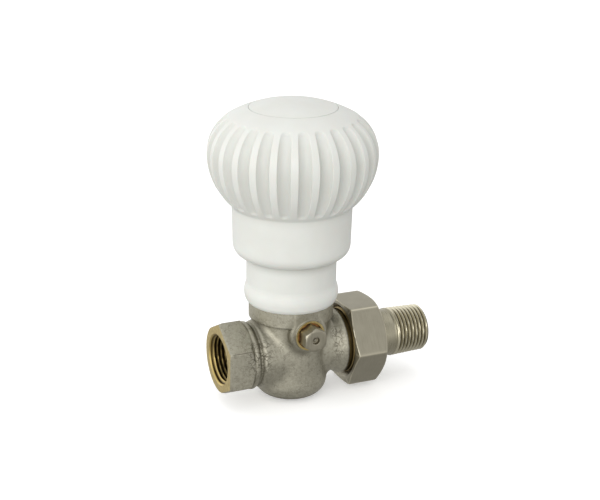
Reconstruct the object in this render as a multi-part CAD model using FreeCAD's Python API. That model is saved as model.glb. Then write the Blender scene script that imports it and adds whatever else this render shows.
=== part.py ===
import FreeCAD, Part
import math
import os

# Manual radiator valve, straight pattern, 3/8 inch.
# Millimetres. Origin at the centre of the inlet mouth, X along the pipe to the tail, Z up the stem.
# Heights are measured from the pipe axis, reaches along the pipe from the stem axis.

os.makedirs("parts", exist_ok=True)
V = FreeCAD.Vector

# Clearances
fit_gap = 0.05              # screwed and seated pieces that stay put
run_gap = 0.08              # radial gap of running threads and guides
moving_gap = 0.30           # free gap between pieces that move past each other
seam_tolerance = 0.02       # how near an edge lies to both faces that it joins

# Travel
lift = 3.75                 # disc, from shut to fully open
stop_play = 0.25            # spindle shoulder short of its stop when fully open

# Seat, disc and chambers, from the seat bore outwards
seat_bore_r = 4.5
seat_lip_width = 1.0
seat_lip_height = 1.3
seat_plate_z = 2.0          # top of the wall between the chambers
seat_plate = 3.5
disc_overhang = 0.9         # disc beyond the seat lip
disc_water_gap = 1.8        # upper chamber beyond the disc
bonnet_ledge = 1.3          # bonnet thread beyond the upper chamber
body_wall = 2.8             # barrel beyond the bonnet thread
lower_chamber_r = 8.0
floor_wall = 3.4
disc_rim = 0.5
disc_plate = 2.0
disc_seal_thick = 1.7
disc_seal_recess = 1.1
disc_pin_r = 2.0
disc_pin_length = 6.4
disc_screw_r = 1.5
disc_screw_grip = 1.0       # screw tip above the disc plate
disc_screw_head_r = 2.7
disc_screw_head = 1.3
clip_up = 4.2               # above the disc plate
clip_thick = 0.8
clip_depth = 0.5

# Body casting
barrel_bottom_z = -15.4
barrel_bottom_round = 5.5
neck_proud = 1.8            # thicker ring that takes the headwork, beyond the barrel
neck_low_z = 12.6
neck_ramp = 1.1
rim_z = 24.0                # top of the body

# Inlet, with a 3/8 inch pipe thread
inlet_thread_r = 8.33
inlet_thread_depth = 11.0
inlet_mouth_chamfer = 0.4
inlet_wall = 2.55           # mouth to wrench flats
inlet_end_taper = 1.2       # length of the tapered end of the flats
inlet_end_inset = 0.35      # how far the taper draws the flats in
inlet_flats_length = 7.5    # with the tapered end
inlet_flats_turn = 2.0      # degrees, front flat turned to face slightly down
inlet_back_proud = 0.3      # rounded back beyond the flats
inlet_bevel = 1.4
inlet_waist_step = 0.2      # foot of the bevel below the shoulder
inlet_bead_width = 2.1      # round bead behind the flats
inlet_bead_rise = 0.15      # bead above the shoulder
inlet_groove_width = 1.1    # between the bead and the shoulder
inlet_groove_depth = 1.1
inlet_shoulder_length = 1.6  # round shoulder, beyond the barrel
inlet_shoulder_inset = 1.0
inlet_shoulder_round = 1.05
inlet_blend = 2.4
inlet_bore_r = 6.4

# Outlet, with a 5/8 inch union thread
outlet_waist_inset = 2.6    # waist below the barrel
outlet_waist_length = 1.1
outlet_blend = 2.4
outlet_flare = 2.8
outlet_rim_inset = 0.35     # rim below the union thread
outlet_rim_width = 0.7
relief_depth = 0.85
relief_width = 1.6
spigot_r = 11.45
spigot_length = 9.3
spigot_chamfer = 0.8
outlet_bore_r = 6.6

# Slanting ways from the bores to the chambers
bore_reach = 11.5           # where the inlet and outlet bores stop
way_r = 3.6
way_overlap = 1.5
way_start_offset = 1.0      # off the pipe axis
way_end_offset = 6.2
way_end_reach = 7.5

# Side port and its plug
port_x = 0.7                # from the stem axis towards the tail
port_z = 10.0
port_thread_r = 3.0
port_bonnet_wall = 0.3      # port thread to the bonnet
port_sink_room = 0.16       # around the corners of the plug
port_sink_depth = 4.2
port_ring_width = 0.65
port_ring_proud = 0.9       # beyond the boss shoulder
port_boss_flare = 1.5
port_boss_proud = 1.3       # beyond the barrel
port_boss_round = 1.1
port_blend = 0.9
plug_flats = 7.4
plug_stand = 4.7
plug_chamfer = 0.4
plug_dimple_r = 1.15
plug_dimple_depth = 1.2
plug_pip_r = 0.5
plug_pip_height = 0.6
plug_seal_thick = 0.9

# Spindle
spindle_r = 3.5
spindle_thread_rise = 1.5
spindle_square = 5.5
spindle_square_length = 19.0
stem_ring_up = (3.0, 7.5)   # seal rings above the foot of the guide
stem_ring_width = 1.9
stem_ring_depth = 1.0

# Bonnet and gland
bonnet_flange = 1.5         # wrench flats beyond the bonnet thread
bonnet_hex_height = 4.8
bonnet_tube_wall = 2.0
bonnet_ring_up = 1.8
bonnet_ring_width = 1.9
bonnet_ring_depth = 1.3
guide_up = 4.0              # foot of the spindle guide above the rim
guide_length = 12.0
packing_width = 1.9
packing_height = 2.0
gland_thread = 5.0          # gland screwed into the bonnet
gland_flats = 13.0
gland_head = 3.2
gland_play = 0.8            # gland head above the bonnet, left for tightening

# Collar sleeve
collar_wall = 1.4
collar_room = 0.80          # around the corners of the bonnet
collar_lip_wall = 0.6
collar_lip_drop = 6.1       # lip below the rim of the body
collar_lip_chamfer = 0.3
collar_band_height = 1.1
collar_band_rise = 0.5
collar_bulge_height = 1.9
collar_bulge_rise = 0.4
collar_bulge_ease = 0.15    # how far the bulge falls away halfway to its edges
collar_tube_height = 3.4
collar_stand = 18.0         # top above the rim of the body
collar_shelf = 1.2
collar_shelf_room = 0.7

# Handwheel
wheel_r = 27.7
wheel_shoulder = 13.9
wheel_crown = 44.0
wheel_under = 22.5
wheel_wall = 2.7
skirt_overlap = 7.8         # over the collar when shut
skirt_wall = 2.0
skirt_foot_wall = 1.46
skirt_foot_height = 4.7
skirt_foot_bulge = 1.0
skirt_out = 4.2             # foot of the straight skirt beyond its opening
skirt_taper = 0.3
flutes = 26
flute_r = 2.25
flute_depth = 1.6           # at the widest ring
flute_end_depth = 0.7       # where the round ends begin
flute_top = 54.0            # degrees up the shoulder
flute_foot = 40.0           # degrees down the under side
flute_turn = 5.2            # degrees, first flute from X
cap_r = 14.3
cap_thick = 2.2
cap_room = 1.0              # over the head of the screw
cap_plug_length = 1.2
cap_plug_wall = 0.9
cap_groove = 0.12
plate = 2.2
hub_r = 6.5
hub_gap = 7.0               # over the gland when shut
webs = 6
web_thick = 1.6
web_height = 16.7
screw_r = 2.0
screw_length = 10.0
screw_head_r = 3.5
screw_head = 2.0
screw_dome_r = 2.6
screw_dome_drop = 0.2
screw_slot = 0.9
screw_slot_length = 4.5
washer_r = 4.6
washer_thick = 0.8

# Union
nut_wall = 2.4              # flats beyond the union thread
nut_gap = 1.1               # behind the rim of the body
nut_lip = 1.3
nut_round = 1.6
nut_mouth_flare = 1.2
nut_chamfer_near = 15.0     # degrees
nut_chamfer_far = 30.0
nut_bevel = 2.1
gasket_thick = 1.5
gasket_bore_r = 7.2
gasket_inset = 0.4
flange_inset = 0.55         # flange below the union thread
flange_thick = 1.6
tail_thread_r = 8.33        # 3/8 inch pipe thread at the gauge plane
tail_thread_length = 12.8
tail_relief = 0.23
tail_plain = 7.0
tail_wall = 2.2
tail_chamfer = 0.6
tail_key_rise = 0.6         # flats for the fitting key, above the bore
tail_key_reach = 9.0        # from the end of the tail

# Radii that follow, from the seat outwards
seat_lip_r = seat_bore_r + seat_lip_width
disc_r = seat_lip_r + disc_overhang
upper_chamber_r = disc_r + disc_water_gap
bonnet_thread_r = upper_chamber_r + bonnet_ledge
barrel_r = bonnet_thread_r + body_wall
neck_r = barrel_r + neck_proud
spindle_thread_r = spindle_r + spindle_thread_rise
packing_r = spindle_r + packing_width
bonnet_tube_r = packing_r + bonnet_tube_wall
bonnet_flats = 2 * (bonnet_thread_r + bonnet_flange)
collar_r = bonnet_flats / math.sqrt(3) + collar_room + collar_wall
skirt_open_r = collar_r + moving_gap
skirt_low_r = skirt_open_r + skirt_out
skirt_r = skirt_low_r + skirt_taper
cap_hole_r = washer_r + moving_gap

# Inlet and outlet that follow
inlet_mouth_r = inlet_thread_r + inlet_mouth_chamfer
inlet_flats_r = inlet_mouth_r + inlet_wall
inlet_corner_r = 2 * inlet_flats_r / math.sqrt(3)
inlet_shoulder_r = barrel_r - inlet_shoulder_inset
inlet_waist_r = inlet_shoulder_r - inlet_waist_step
inlet_shoulder_reach = barrel_r + inlet_shoulder_length
inlet_bead_near = inlet_shoulder_reach + inlet_groove_width
inlet_bead_far = inlet_bead_near + inlet_bead_width
stem_x = inlet_bead_far + inlet_bevel + inlet_flats_length
outlet_waist_r = barrel_r - outlet_waist_inset
outlet_waist_reach = barrel_r + outlet_waist_length
outlet_rim_reach = outlet_waist_reach + outlet_flare
outlet_rim_end = outlet_rim_reach + outlet_rim_width
outlet_rim_r = spigot_r - outlet_rim_inset
spigot_end = outlet_rim_end + spigot_length
flange_start = spigot_end + gasket_thick
flange_end = flange_start + flange_thick
flange_r = spigot_r - flange_inset
nut_near = outlet_rim_end + nut_gap
nut_far = flange_end + nut_lip
nut_flats = 2 * (spigot_r + nut_wall)
tail_r = tail_thread_r - tail_relief
tail_bore_r = tail_r - tail_wall
tail_thread_start = flange_end + tail_plain
tail_end = tail_thread_start + tail_thread_length

# Side port that follows
plug_corner_r = plug_flats / math.sqrt(3)
port_sink_r = plug_corner_r + port_sink_room
port_ring_r = port_sink_r + port_ring_width
port_boss_r = port_ring_r + port_boss_flare
port_shoulder_y = barrel_r + port_boss_proud
port_ring_y = port_shoulder_y + port_ring_proud
port_sink_y = port_ring_y - port_sink_depth
plug_seat_y = port_sink_y + plug_seal_thick
plug_end_y = port_ring_y + plug_stand

# Heights that follow, from the seat upwards
seat_lip_z = seat_plate_z + seat_lip_height
disc_low_z = seat_lip_z + fit_gap
disc_plate_z = disc_low_z + disc_seal_thick
disc_top_z = disc_plate_z + disc_plate
clip_z = disc_top_z + clip_up
spindle_low_z = disc_top_z + fit_gap
bonnet_low_z = port_z + port_thread_r + port_bonnet_wall
bonnet_ring_z = bonnet_low_z + bonnet_ring_up
shelf_z = rim_z + collar_shelf
guide_low_z = rim_z + guide_up
spindle_shoulder_z = guide_low_z - lift - stop_play
packing_low_z = guide_low_z + guide_length
packing_top_z = packing_low_z + packing_height
bonnet_top_z = packing_top_z + gland_thread
gland_head_z = bonnet_top_z + gland_play
gland_top_z = gland_head_z + gland_head
square_low_z = gland_top_z + hub_gap
spindle_top_z = square_low_z + spindle_square_length
washer_z = spindle_top_z + moving_gap
screw_head_z = washer_z + washer_thick
cap_seat_z = screw_head_z + screw_head + cap_room
plate_low_z = cap_seat_z - plate
collar_lip_z = rim_z - collar_lip_drop
collar_top_z = rim_z + collar_stand
skirt_low_z = collar_top_z - skirt_overlap
skirt_foot_z = skirt_low_z + skirt_foot_height

# Globe of the handwheel: the crown meets the cap, and the shoulder runs tangent from the crown
crown_z = cap_seat_z + cap_thick - math.sqrt(wheel_crown ** 2 - cap_r ** 2)
wheel_rise = math.sqrt((wheel_crown - wheel_shoulder) ** 2 - (wheel_r - wheel_shoulder) ** 2)
wheel_mid_z = crown_z + wheel_rise
crown_angle = math.atan2(wheel_rise, wheel_r - wheel_shoulder)


def face_of(path, place):
    """Closed face from a path: two numbers end a line, four are the middle and end of an arc."""
    edges = []
    here = path[0]
    for step in path[1:] + [path[0]]:
        end = step[-2:]
        if len(step) == 4:
            edges.append(Part.Arc(place(here), place(step[:2]), place(end)).toShape())
        else:
            edges.append(Part.makeLine(place(here), place(end)))
        here = end
    return Part.Face(Part.Wire(edges))


def round_stem(path):
    """Turned piece about the stem, from a path of (radius, height)."""
    face = face_of(path, lambda p: V(stem_x + p[0], 0, p[1]))
    return face.revolve(V(stem_x, 0, 0), V(0, 0, 1), 360)


def round_pipe(path):
    """Turned piece about the pipe, from a path of (reach, radius)."""
    face = face_of(path, lambda p: V(stem_x + p[0], 0, p[1]))
    return face.revolve(V(0, 0, 0), V(1, 0, 0), 360)


def round_port(path):
    """Turned piece about the side port, from a path of (distance in front of the stem plane, radius)."""
    face = face_of(path, lambda p: V(stem_x + port_x + p[1], -p[0], port_z))
    return face.revolve(V(stem_x + port_x, 0, port_z), V(0, -1, 0), 360)


def hexagon(flats, start, along, across):
    """Hexagonal bar from start, along a vector; across points at one corner."""
    turn = FreeCAD.Rotation(along, 60)
    spoke = V(across).normalize() * (flats / math.sqrt(3))
    corners = []
    for _ in range(6):
        corners.append(start + spoke)
        spoke = turn.multVec(spoke)
    return Part.Face(Part.makePolygon(corners + [corners[0]])).extrude(along)


def rod(start, along, radius):
    return Part.makeCylinder(radius, along.Length, start, along)


def ring(radius_in, radius_out, low_z, high_z):
    return round_stem([(radius_in, low_z), (radius_out, low_z), (radius_out, high_z), (radius_in, high_z)])


def o_ring(inner_r, outer_r, middle_z):
    thick = (outer_r - inner_r) / 2
    return Part.makeTorus(inner_r + thick, thick, V(stem_x, 0, middle_z), V(0, 0, 1))


def seams(shape, first, second):
    """Edges of a shape that lie on both surfaces; each surface is a distance function."""
    found = []
    for edge in shape.Edges:
        points = edge.discretize(9)
        if all(max(abs(first(p)), abs(second(p))) < seam_tolerance for p in points):
            found.append(edge)
    return found


def off_stem(radius):
    return lambda p: math.hypot(p.x - stem_x, p.y) - radius


def off_pipe(radius):
    return lambda p: math.hypot(p.y, p.z) - radius


def off_port(radius):
    return lambda p: math.hypot(p.x - stem_x - port_x, p.z - port_z) - radius


def quarter_bend(radius):
    """How far the middle of a quarter round stays inside its corner."""
    return radius * (1 - math.sqrt(0.5))


# Body
def inlet_socket():
    """Inlet end with wrench flats in front and a round back, tapered at the mouth, then a round bead."""

    def corner(x, degrees, radius):
        angle = math.radians(degrees - inlet_flats_turn)
        return V(x, -radius * math.cos(angle), radius * math.sin(angle))

    def outline(x, flats_r):
        corner_r = 2 * flats_r / math.sqrt(3)
        back_r = flats_r + inlet_back_proud
        reach = math.degrees(math.acos(flats_r / back_r))
        corners = [corner(x, -60 - reach, back_r)]
        corners += [corner(x, degrees, corner_r) for degrees in (-30, 30, 90)]
        corners.append(corner(x, 120 + reach, back_r))
        edges = [Part.makeLine(a, b) for a, b in zip(corners, corners[1:])]
        edges.append(Part.Arc(corners[-1], corner(x, 210, back_r), corners[0]).toShape())
        return Part.Wire(edges)

    full = outline(inlet_end_taper, inlet_flats_r)
    taper = Part.makeLoft([outline(0, inlet_flats_r - inlet_end_inset), full], True, True)
    straight = inlet_flats_length + inlet_bevel - inlet_end_taper
    bar = Part.Face(full).extrude(V(straight, 0, 0)).fuse(taper)
    bevel_start = inlet_flats_length - stem_x
    clear_r = 2 * inlet_corner_r
    bevel = round_pipe([
        (bevel_start, inlet_corner_r), (-inlet_bead_far, inlet_waist_r), (-inlet_bead_far, clear_r),
        (bevel_start, clear_r)])
    groove_r = inlet_shoulder_r - inlet_groove_depth
    groove_edge_r = inlet_shoulder_r - inlet_groove_depth / 2
    groove_middle = (inlet_shoulder_reach + inlet_bead_near) / 2
    bead_middle = (inlet_bead_near + inlet_bead_far) / 2
    arm = round_pipe([
        (bevel_start, 0), (bevel_start, inlet_waist_r), (-inlet_bead_far, inlet_waist_r),
        (-bead_middle, inlet_shoulder_r + inlet_bead_rise, -inlet_bead_near, groove_edge_r),
        (-groove_middle, groove_r, -inlet_shoulder_reach, groove_edge_r), (0, groove_edge_r), (0, 0)])
    return bar.cut(bevel).fuse(arm)


def body_outside():
    """Upright barrel, inlet shoulder, outlet with its spigot, neck and port boss, blended like a forging."""
    foot = barrel_bottom_round
    bend = quarter_bend(foot)
    barrel_top_z = (neck_low_z + rim_z) / 2
    barrel = round_stem([
        (0, barrel_bottom_z), (barrel_r - foot, barrel_bottom_z),
        (barrel_r - bend, barrel_bottom_z + bend, barrel_r, barrel_bottom_z + foot),
        (barrel_r, barrel_top_z), (0, barrel_top_z)])
    barrel.rotate(V(stem_x, 0, 0), V(0, 0, 1), 90)
    edge = inlet_shoulder_round
    bend = quarter_bend(edge)
    shoulder = round_pipe([
        (-inlet_shoulder_reach, 0), (-inlet_shoulder_reach, inlet_shoulder_r - edge),
        (bend - inlet_shoulder_reach, inlet_shoulder_r - bend, edge - inlet_shoulder_reach, inlet_shoulder_r),
        (0, inlet_shoulder_r), (0, 0)])
    relief_end = outlet_rim_end + relief_width
    relief_r = spigot_r - relief_depth
    outlet = round_pipe([
        (0, 0), (0, outlet_waist_r), (outlet_waist_reach, outlet_waist_r), (outlet_rim_reach, outlet_rim_r),
        (outlet_rim_end, outlet_rim_r), (outlet_rim_end, relief_r), (relief_end, relief_r),
        (relief_end, spigot_r), (spigot_end - spigot_chamfer, spigot_r),
        (spigot_end, spigot_r - spigot_chamfer), (spigot_end, 0)])
    edge = port_boss_round
    bend = quarter_bend(edge)
    boss = round_port([
        (0, 0), (0, port_boss_r), (port_shoulder_y - edge, port_boss_r),
        (port_shoulder_y - bend, port_boss_r - bend, port_shoulder_y, port_boss_r - edge),
        (port_shoulder_y, port_ring_r), (port_ring_y, port_ring_r), (port_ring_y, 0)])
    whole = barrel.fuse([shoulder, outlet, boss]).removeSplitter()
    whole = whole.makeFillet(inlet_blend, seams(whole, off_stem(barrel_r), off_pipe(inlet_shoulder_r)))
    whole = whole.makeFillet(outlet_blend, seams(whole, off_stem(barrel_r), off_pipe(outlet_waist_r)))
    whole = whole.makeFillet(port_blend, seams(whole, off_stem(barrel_r), off_port(port_boss_r)))
    ramp_z = neck_low_z - neck_ramp
    neck = round_stem([
        (0, ramp_z), (barrel_r - neck_proud, ramp_z), (neck_r, neck_low_z), (neck_r, rim_z), (0, rim_z)])
    return whole.fuse(neck).fuse(inlet_socket()).removeSplitter()


def water_ways():
    """Everything bored out of the body: inlet, lower chamber, seat, upper chamber, outlet, port."""
    mouth = -stem_x
    thread_end = mouth + inlet_thread_depth
    drill_end = thread_end + inlet_thread_r - inlet_bore_r
    inlet_thread = round_pipe([
        (mouth, 0), (mouth, inlet_mouth_r), (mouth + inlet_mouth_chamfer, inlet_thread_r),
        (thread_end, inlet_thread_r), (drill_end, inlet_bore_r), (drill_end, 0)])
    inlet_bore = rod(V(0, 0, 0), V(stem_x - bore_reach, 0, 0), inlet_bore_r)
    outlet_bore = rod(V(stem_x + bore_reach, 0, 0), V(spigot_end - bore_reach, 0, 0), outlet_bore_r)
    stem = V(stem_x, 0, 0)
    outer = V(bore_reach + way_overlap, 0, way_start_offset)
    inner = V(way_end_reach, 0, way_end_offset)
    way_down = rod(stem - outer, outer - inner, way_r)
    way_up = rod(stem + outer, inner - outer, way_r)
    seat_low_z = seat_plate_z - seat_plate
    lower = ring(0, lower_chamber_r, barrel_bottom_z + floor_wall, seat_low_z)
    seat = ring(0, seat_bore_r, seat_low_z, seat_plate_z)
    upper = round_stem([
        (0, seat_plate_z), (seat_bore_r, seat_plate_z), (seat_bore_r, seat_lip_z), (seat_lip_r, seat_lip_z),
        (seat_lip_r, seat_plate_z), (upper_chamber_r, seat_plate_z), (upper_chamber_r, bonnet_low_z),
        (0, bonnet_low_z)])
    socket = ring(0, bonnet_thread_r + fit_gap, bonnet_low_z, rim_z)
    port = round_port([
        (upper_chamber_r / 2, 0), (upper_chamber_r / 2, port_thread_r), (port_sink_y, port_thread_r),
        (port_sink_y, port_sink_r), (port_ring_y, port_sink_r), (port_ring_y, 0)])
    return inlet_thread.fuse([inlet_bore, outlet_bore, way_down, way_up, lower, seat, upper, socket, port])


def valve_body():
    return body_outside().cut(water_ways())


# Headwork pieces that stay put
def bonnet():
    neck_z = shelf_z + bonnet_hex_height
    foot_z = bonnet_low_z + fit_gap
    groove_r = bonnet_thread_r - bonnet_ring_depth
    groove_low_z = bonnet_ring_z - bonnet_ring_width / 2
    groove_top_z = bonnet_ring_z + bonnet_ring_width / 2
    tube = round_stem([
        (spindle_thread_r + run_gap, foot_z), (bonnet_thread_r, foot_z),
        (bonnet_thread_r, groove_low_z), (groove_r, groove_low_z),
        (groove_r, groove_top_z), (bonnet_thread_r, groove_top_z),
        (bonnet_thread_r, neck_z), (bonnet_tube_r, neck_z), (bonnet_tube_r, bonnet_top_z),
        (packing_r, bonnet_top_z), (packing_r, packing_low_z), (spindle_r + run_gap, packing_low_z),
        (spindle_r + run_gap, guide_low_z), (spindle_thread_r + run_gap, guide_low_z)])
    height = V(0, 0, bonnet_hex_height)
    nut = hexagon(bonnet_flats, V(stem_x, 0, shelf_z), height, V(1, 0, 0))
    nut = nut.cut(rod(V(stem_x, 0, shelf_z), height, bonnet_tube_r))
    return tube.fuse(nut).removeSplitter()


def bonnet_seal_ring():
    return o_ring(bonnet_thread_r - bonnet_ring_depth, bonnet_thread_r + fit_gap, bonnet_ring_z)


def gland_screw():
    head = hexagon(gland_flats, V(stem_x, 0, gland_head_z), V(0, 0, gland_head), V(1, 0, 0))
    shank = ring(0, packing_r - fit_gap, packing_top_z, gland_head_z)
    bore = ring(0, spindle_r + run_gap, packing_top_z, gland_top_z)
    return head.fuse(shank).cut(bore)


def gland_packing():
    return ring(spindle_r + run_gap, packing_r - fit_gap, packing_low_z, packing_top_z)


def collar_sleeve():
    inner = neck_r + fit_gap
    lip_r = inner + collar_lip_wall
    lip_z = collar_lip_z + collar_lip_chamfer
    band_r = lip_r + collar_band_rise
    band_z = collar_lip_z + collar_band_height
    bulge_r = band_r + collar_bulge_rise
    bulge_z = band_z + collar_bulge_height
    tube_z = bulge_z + collar_tube_height
    tube_in = collar_r - collar_wall
    shelf_r = bonnet_thread_r + collar_shelf_room
    eased_r = bulge_r - collar_bulge_ease
    return round_stem([
        (inner, collar_lip_z), (lip_r - collar_lip_chamfer, collar_lip_z), (lip_r, lip_z), (band_r, band_z),
        (eased_r, (band_z + bulge_z) / 2, bulge_r, bulge_z),
        (eased_r, (bulge_z + tube_z) / 2, collar_r, tube_z),
        (collar_r, collar_top_z), (tube_in, collar_top_z), (tube_in, shelf_z),
        (shelf_r, shelf_z), (shelf_r, rim_z), (inner, rim_z)])


# Spindle, turned from bar, with a square for the wheel and a socket for the disc pin
def spindle():
    groove_r = spindle_r - stem_ring_depth
    half = stem_ring_width / 2
    path = [(0, spindle_low_z), (spindle_thread_r, spindle_low_z), (spindle_thread_r, spindle_shoulder_z),
            (spindle_r, spindle_shoulder_z)]
    for up in stem_ring_up:
        low = guide_low_z + up - half
        high = guide_low_z + up + half
        path += [(spindle_r, low), (groove_r, low), (groove_r, high), (spindle_r, high)]
    path += [(spindle_r, spindle_top_z), (0, spindle_top_z)]
    shaft = round_stem(path)
    side = spindle_square
    square = Part.makeBox(side, side, spindle_square_length, V(stem_x - side / 2, -side / 2, square_low_z))
    shaft = shaft.cut(ring(0, 2 * spindle_r, square_low_z, spindle_top_z).cut(square))
    pin_r = disc_pin_r + run_gap
    clip_low = clip_z - fit_gap
    clip_high = clip_z + clip_thick + fit_gap
    socket_top = disc_top_z + disc_pin_length + moving_gap
    socket = round_stem([
        (0, spindle_low_z), (pin_r, spindle_low_z), (pin_r, clip_low), (pin_r + clip_depth, clip_low),
        (pin_r + clip_depth, clip_high), (pin_r, clip_high), (pin_r, socket_top), (0, socket_top)])
    tapped = ring(0, screw_r, spindle_top_z - screw_length, spindle_top_z)
    return shaft.cut(socket).cut(tapped)


def spindle_seal_ring(up):
    return o_ring(spindle_r - stem_ring_depth, spindle_r + run_gap / 2, guide_low_z + up)


def valve_disc():
    pin_z = disc_top_z + disc_pin_length
    clip_top = clip_z + clip_thick
    groove_r = disc_pin_r - clip_depth
    seal_r = disc_r - disc_rim
    rim_low_z = disc_plate_z - disc_seal_recess
    turned = round_stem([
        (0, disc_plate_z), (seal_r, disc_plate_z), (seal_r, rim_low_z), (disc_r, rim_low_z),
        (disc_r, disc_top_z), (disc_pin_r, disc_top_z), (disc_pin_r, clip_z), (groove_r, clip_z),
        (groove_r, clip_top), (disc_pin_r, clip_top), (disc_pin_r, pin_z), (0, pin_z)])
    return turned.cut(ring(0, disc_screw_r, disc_plate_z, disc_top_z + disc_screw_grip))


def swivel_clip():
    outer_r = disc_pin_r + run_gap + clip_depth / 2
    whole = ring(disc_pin_r - clip_depth, outer_r, clip_z, clip_z + clip_thick)
    mouth = Part.makeBox(disc_r, disc_pin_r, clip_thick, V(stem_x, -disc_pin_r / 2, clip_z))
    return whole.cut(mouth)


def disc_seal():
    return ring(disc_screw_r + fit_gap, disc_r - disc_rim - fit_gap, disc_low_z, disc_plate_z)


def disc_screw():
    head_low_z = disc_low_z - disc_screw_head
    head = ring(0, disc_screw_head_r, head_low_z, disc_low_z)
    shank = ring(0, disc_screw_r, disc_low_z, disc_top_z + disc_screw_grip)
    slot = Part.makeBox(2 * disc_screw_head_r, screw_slot, disc_screw_head / 2,
                        V(stem_x - disc_screw_head_r, -screw_slot / 2, head_low_z))
    return head.fuse(shank).cut(slot)


# Handwheel: a hollow fluted globe on a skirt, moulded in one piece
def on_shoulder(offset, angle):
    radius = wheel_shoulder - offset
    return (wheel_r - wheel_shoulder + radius * math.cos(angle), wheel_mid_z + radius * math.sin(angle))


def on_crown(offset, radius_out):
    return (radius_out, crown_z + math.sqrt((wheel_crown - offset) ** 2 - radius_out ** 2))


def under_angle(offset, radius_out):
    return math.acos((radius_out - wheel_r + wheel_under) / (wheel_under - offset))


def on_under(offset, angle):
    radius = wheel_under - offset
    return (wheel_r - wheel_under + radius * math.cos(angle), wheel_mid_z - radius * math.sin(angle))


def wheel_outside():
    turn = under_angle(0, skirt_r)
    foot_r = skirt_open_r + skirt_foot_wall
    chord = math.hypot(skirt_low_r - foot_r, skirt_foot_height)
    foot_mid = ((foot_r + skirt_low_r) / 2 + skirt_foot_bulge * skirt_foot_height / chord,
                (skirt_low_z + skirt_foot_z) / 2 - skirt_foot_bulge * (skirt_low_r - foot_r) / chord)
    hole_r = cap_r + fit_gap
    join = on_shoulder(0, crown_angle)
    return round_stem([
        (0, skirt_low_z), (foot_r, skirt_low_z), foot_mid + (skirt_low_r, skirt_foot_z), on_under(0, turn),
        on_under(0, turn / 2) + on_under(0, 0), on_shoulder(0, crown_angle / 2) + join,
        on_crown(0, (hole_r + join[0]) / 2) + on_crown(0, hole_r), (hole_r, cap_seat_z), (0, cap_seat_z)])


def wheel_hollow():
    """Space inside the globe and skirt, around the hub and between the webs."""
    inner_skirt = skirt_r - skirt_wall
    turn = under_angle(wheel_wall, inner_skirt)
    join = on_shoulder(wheel_wall, crown_angle)
    space = round_stem([
        (0, skirt_low_z), (skirt_open_r, skirt_low_z), (skirt_open_r, skirt_low_z + skirt_wall),
        (skirt_low_r - skirt_wall, skirt_foot_z), on_under(wheel_wall, turn),
        on_under(wheel_wall, turn / 2) + on_under(wheel_wall, 0),
        on_shoulder(wheel_wall, crown_angle / 2) + join,
        on_crown(wheel_wall, join[0] / 2) + on_crown(wheel_wall, 0)])
    space = space.common(ring(0, wheel_r, skirt_low_z, plate_low_z))
    space = space.cut(ring(0, hub_r, square_low_z, plate_low_z))
    for index in range(webs):
        corner = V(stem_x, -web_thick / 2, plate_low_z - web_height)
        web = Part.makeBox(wheel_r, web_thick, web_height, corner)
        web.rotate(V(stem_x, 0, 0), V(0, 0, 1), 360 * (index + 0.5) / webs)
        space = space.cut(web)
    return space


def flute_cutter():
    """Round bar bent along the globe, deepest at the widest ring, with a round end at top and foot."""
    top = on_shoulder(flute_end_depth, math.radians(flute_top))
    middle = on_shoulder(flute_depth, 0)
    foot = on_under(flute_end_depth, math.radians(flute_foot))
    arc = Part.Arc(*[V(stem_x + p[0], 0, p[1]) for p in (top, middle, foot)]).toShape().Curve
    low_turn = math.degrees(math.asin((arc.Center.z - foot[1]) / arc.Radius))
    high_turn = math.degrees(math.asin((top[1] - arc.Center.z) / arc.Radius))
    spoke = V(arc.Radius + flute_r, 0, 0)
    low_end = FreeCAD.Rotation(V(0, 1, 0), low_turn).multVec(spoke)
    high_end = FreeCAD.Rotation(V(0, 1, 0), -high_turn).multVec(spoke)
    circle = Part.Circle(arc.Center + low_end, V(0, 1, 0).cross(low_end), flute_r)
    section = Part.Face(Part.Wire(circle.toShape()))
    bar = section.revolve(arc.Center, V(0, 1, 0), -low_turn - high_turn)
    ends = [Part.makeSphere(flute_r, arc.Center + end) for end in (low_end, high_end)]
    return bar.fuse(ends)


def handwheel():
    cutter = flute_cutter()
    cutters = []
    for index in range(flutes):
        bar = cutter.copy()
        bar.rotate(V(stem_x, 0, 0), V(0, 0, 1), flute_turn + 360 * index / flutes)
        cutters.append(bar)
    wheel = wheel_outside().cut(cutters).cut(wheel_hollow())
    side = spindle_square + 2 * fit_gap
    corner = V(stem_x - side / 2, -side / 2, square_low_z)
    socket = Part.makeBox(side, side, washer_z - square_low_z, corner)
    socket = socket.common(ring(0, spindle_r + fit_gap, square_low_z, washer_z))
    return wheel.cut([socket, ring(0, cap_hole_r, washer_z, cap_seat_z)])


def handwheel_cap():
    edge = cap_r - cap_groove
    plug_r = cap_hole_r - fit_gap
    plug_low_z = cap_seat_z - cap_plug_length
    return round_stem([
        (0, cap_seat_z), (plug_r - cap_plug_wall, cap_seat_z), (plug_r - cap_plug_wall, plug_low_z),
        (plug_r, plug_low_z), (plug_r, cap_seat_z), (edge, cap_seat_z), on_crown(0, edge),
        on_crown(0, edge / 2) + on_crown(0, 0)])


def handwheel_screw():
    top_z = screw_head_z + screw_head
    head = round_stem([
        (0, screw_head_z), (screw_head_r, screw_head_z), (screw_head_r, screw_head_z + screw_head / 2),
        (screw_dome_r, top_z - screw_dome_drop, 0, top_z)])
    shank = ring(0, screw_r, spindle_top_z - screw_length + moving_gap, screw_head_z)
    for turn in (0, 90):
        corner = V(stem_x - screw_slot_length / 2, -screw_slot / 2, screw_head_z + screw_head / 3)
        slot = Part.makeBox(screw_slot_length, screw_slot, screw_head, corner)
        slot.rotate(V(stem_x, 0, 0), V(0, 0, 1), turn)
        head = head.cut(slot)
    return head.fuse(shank)


def handwheel_washer():
    return ring(screw_r + fit_gap, washer_r, washer_z, screw_head_z)


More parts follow.
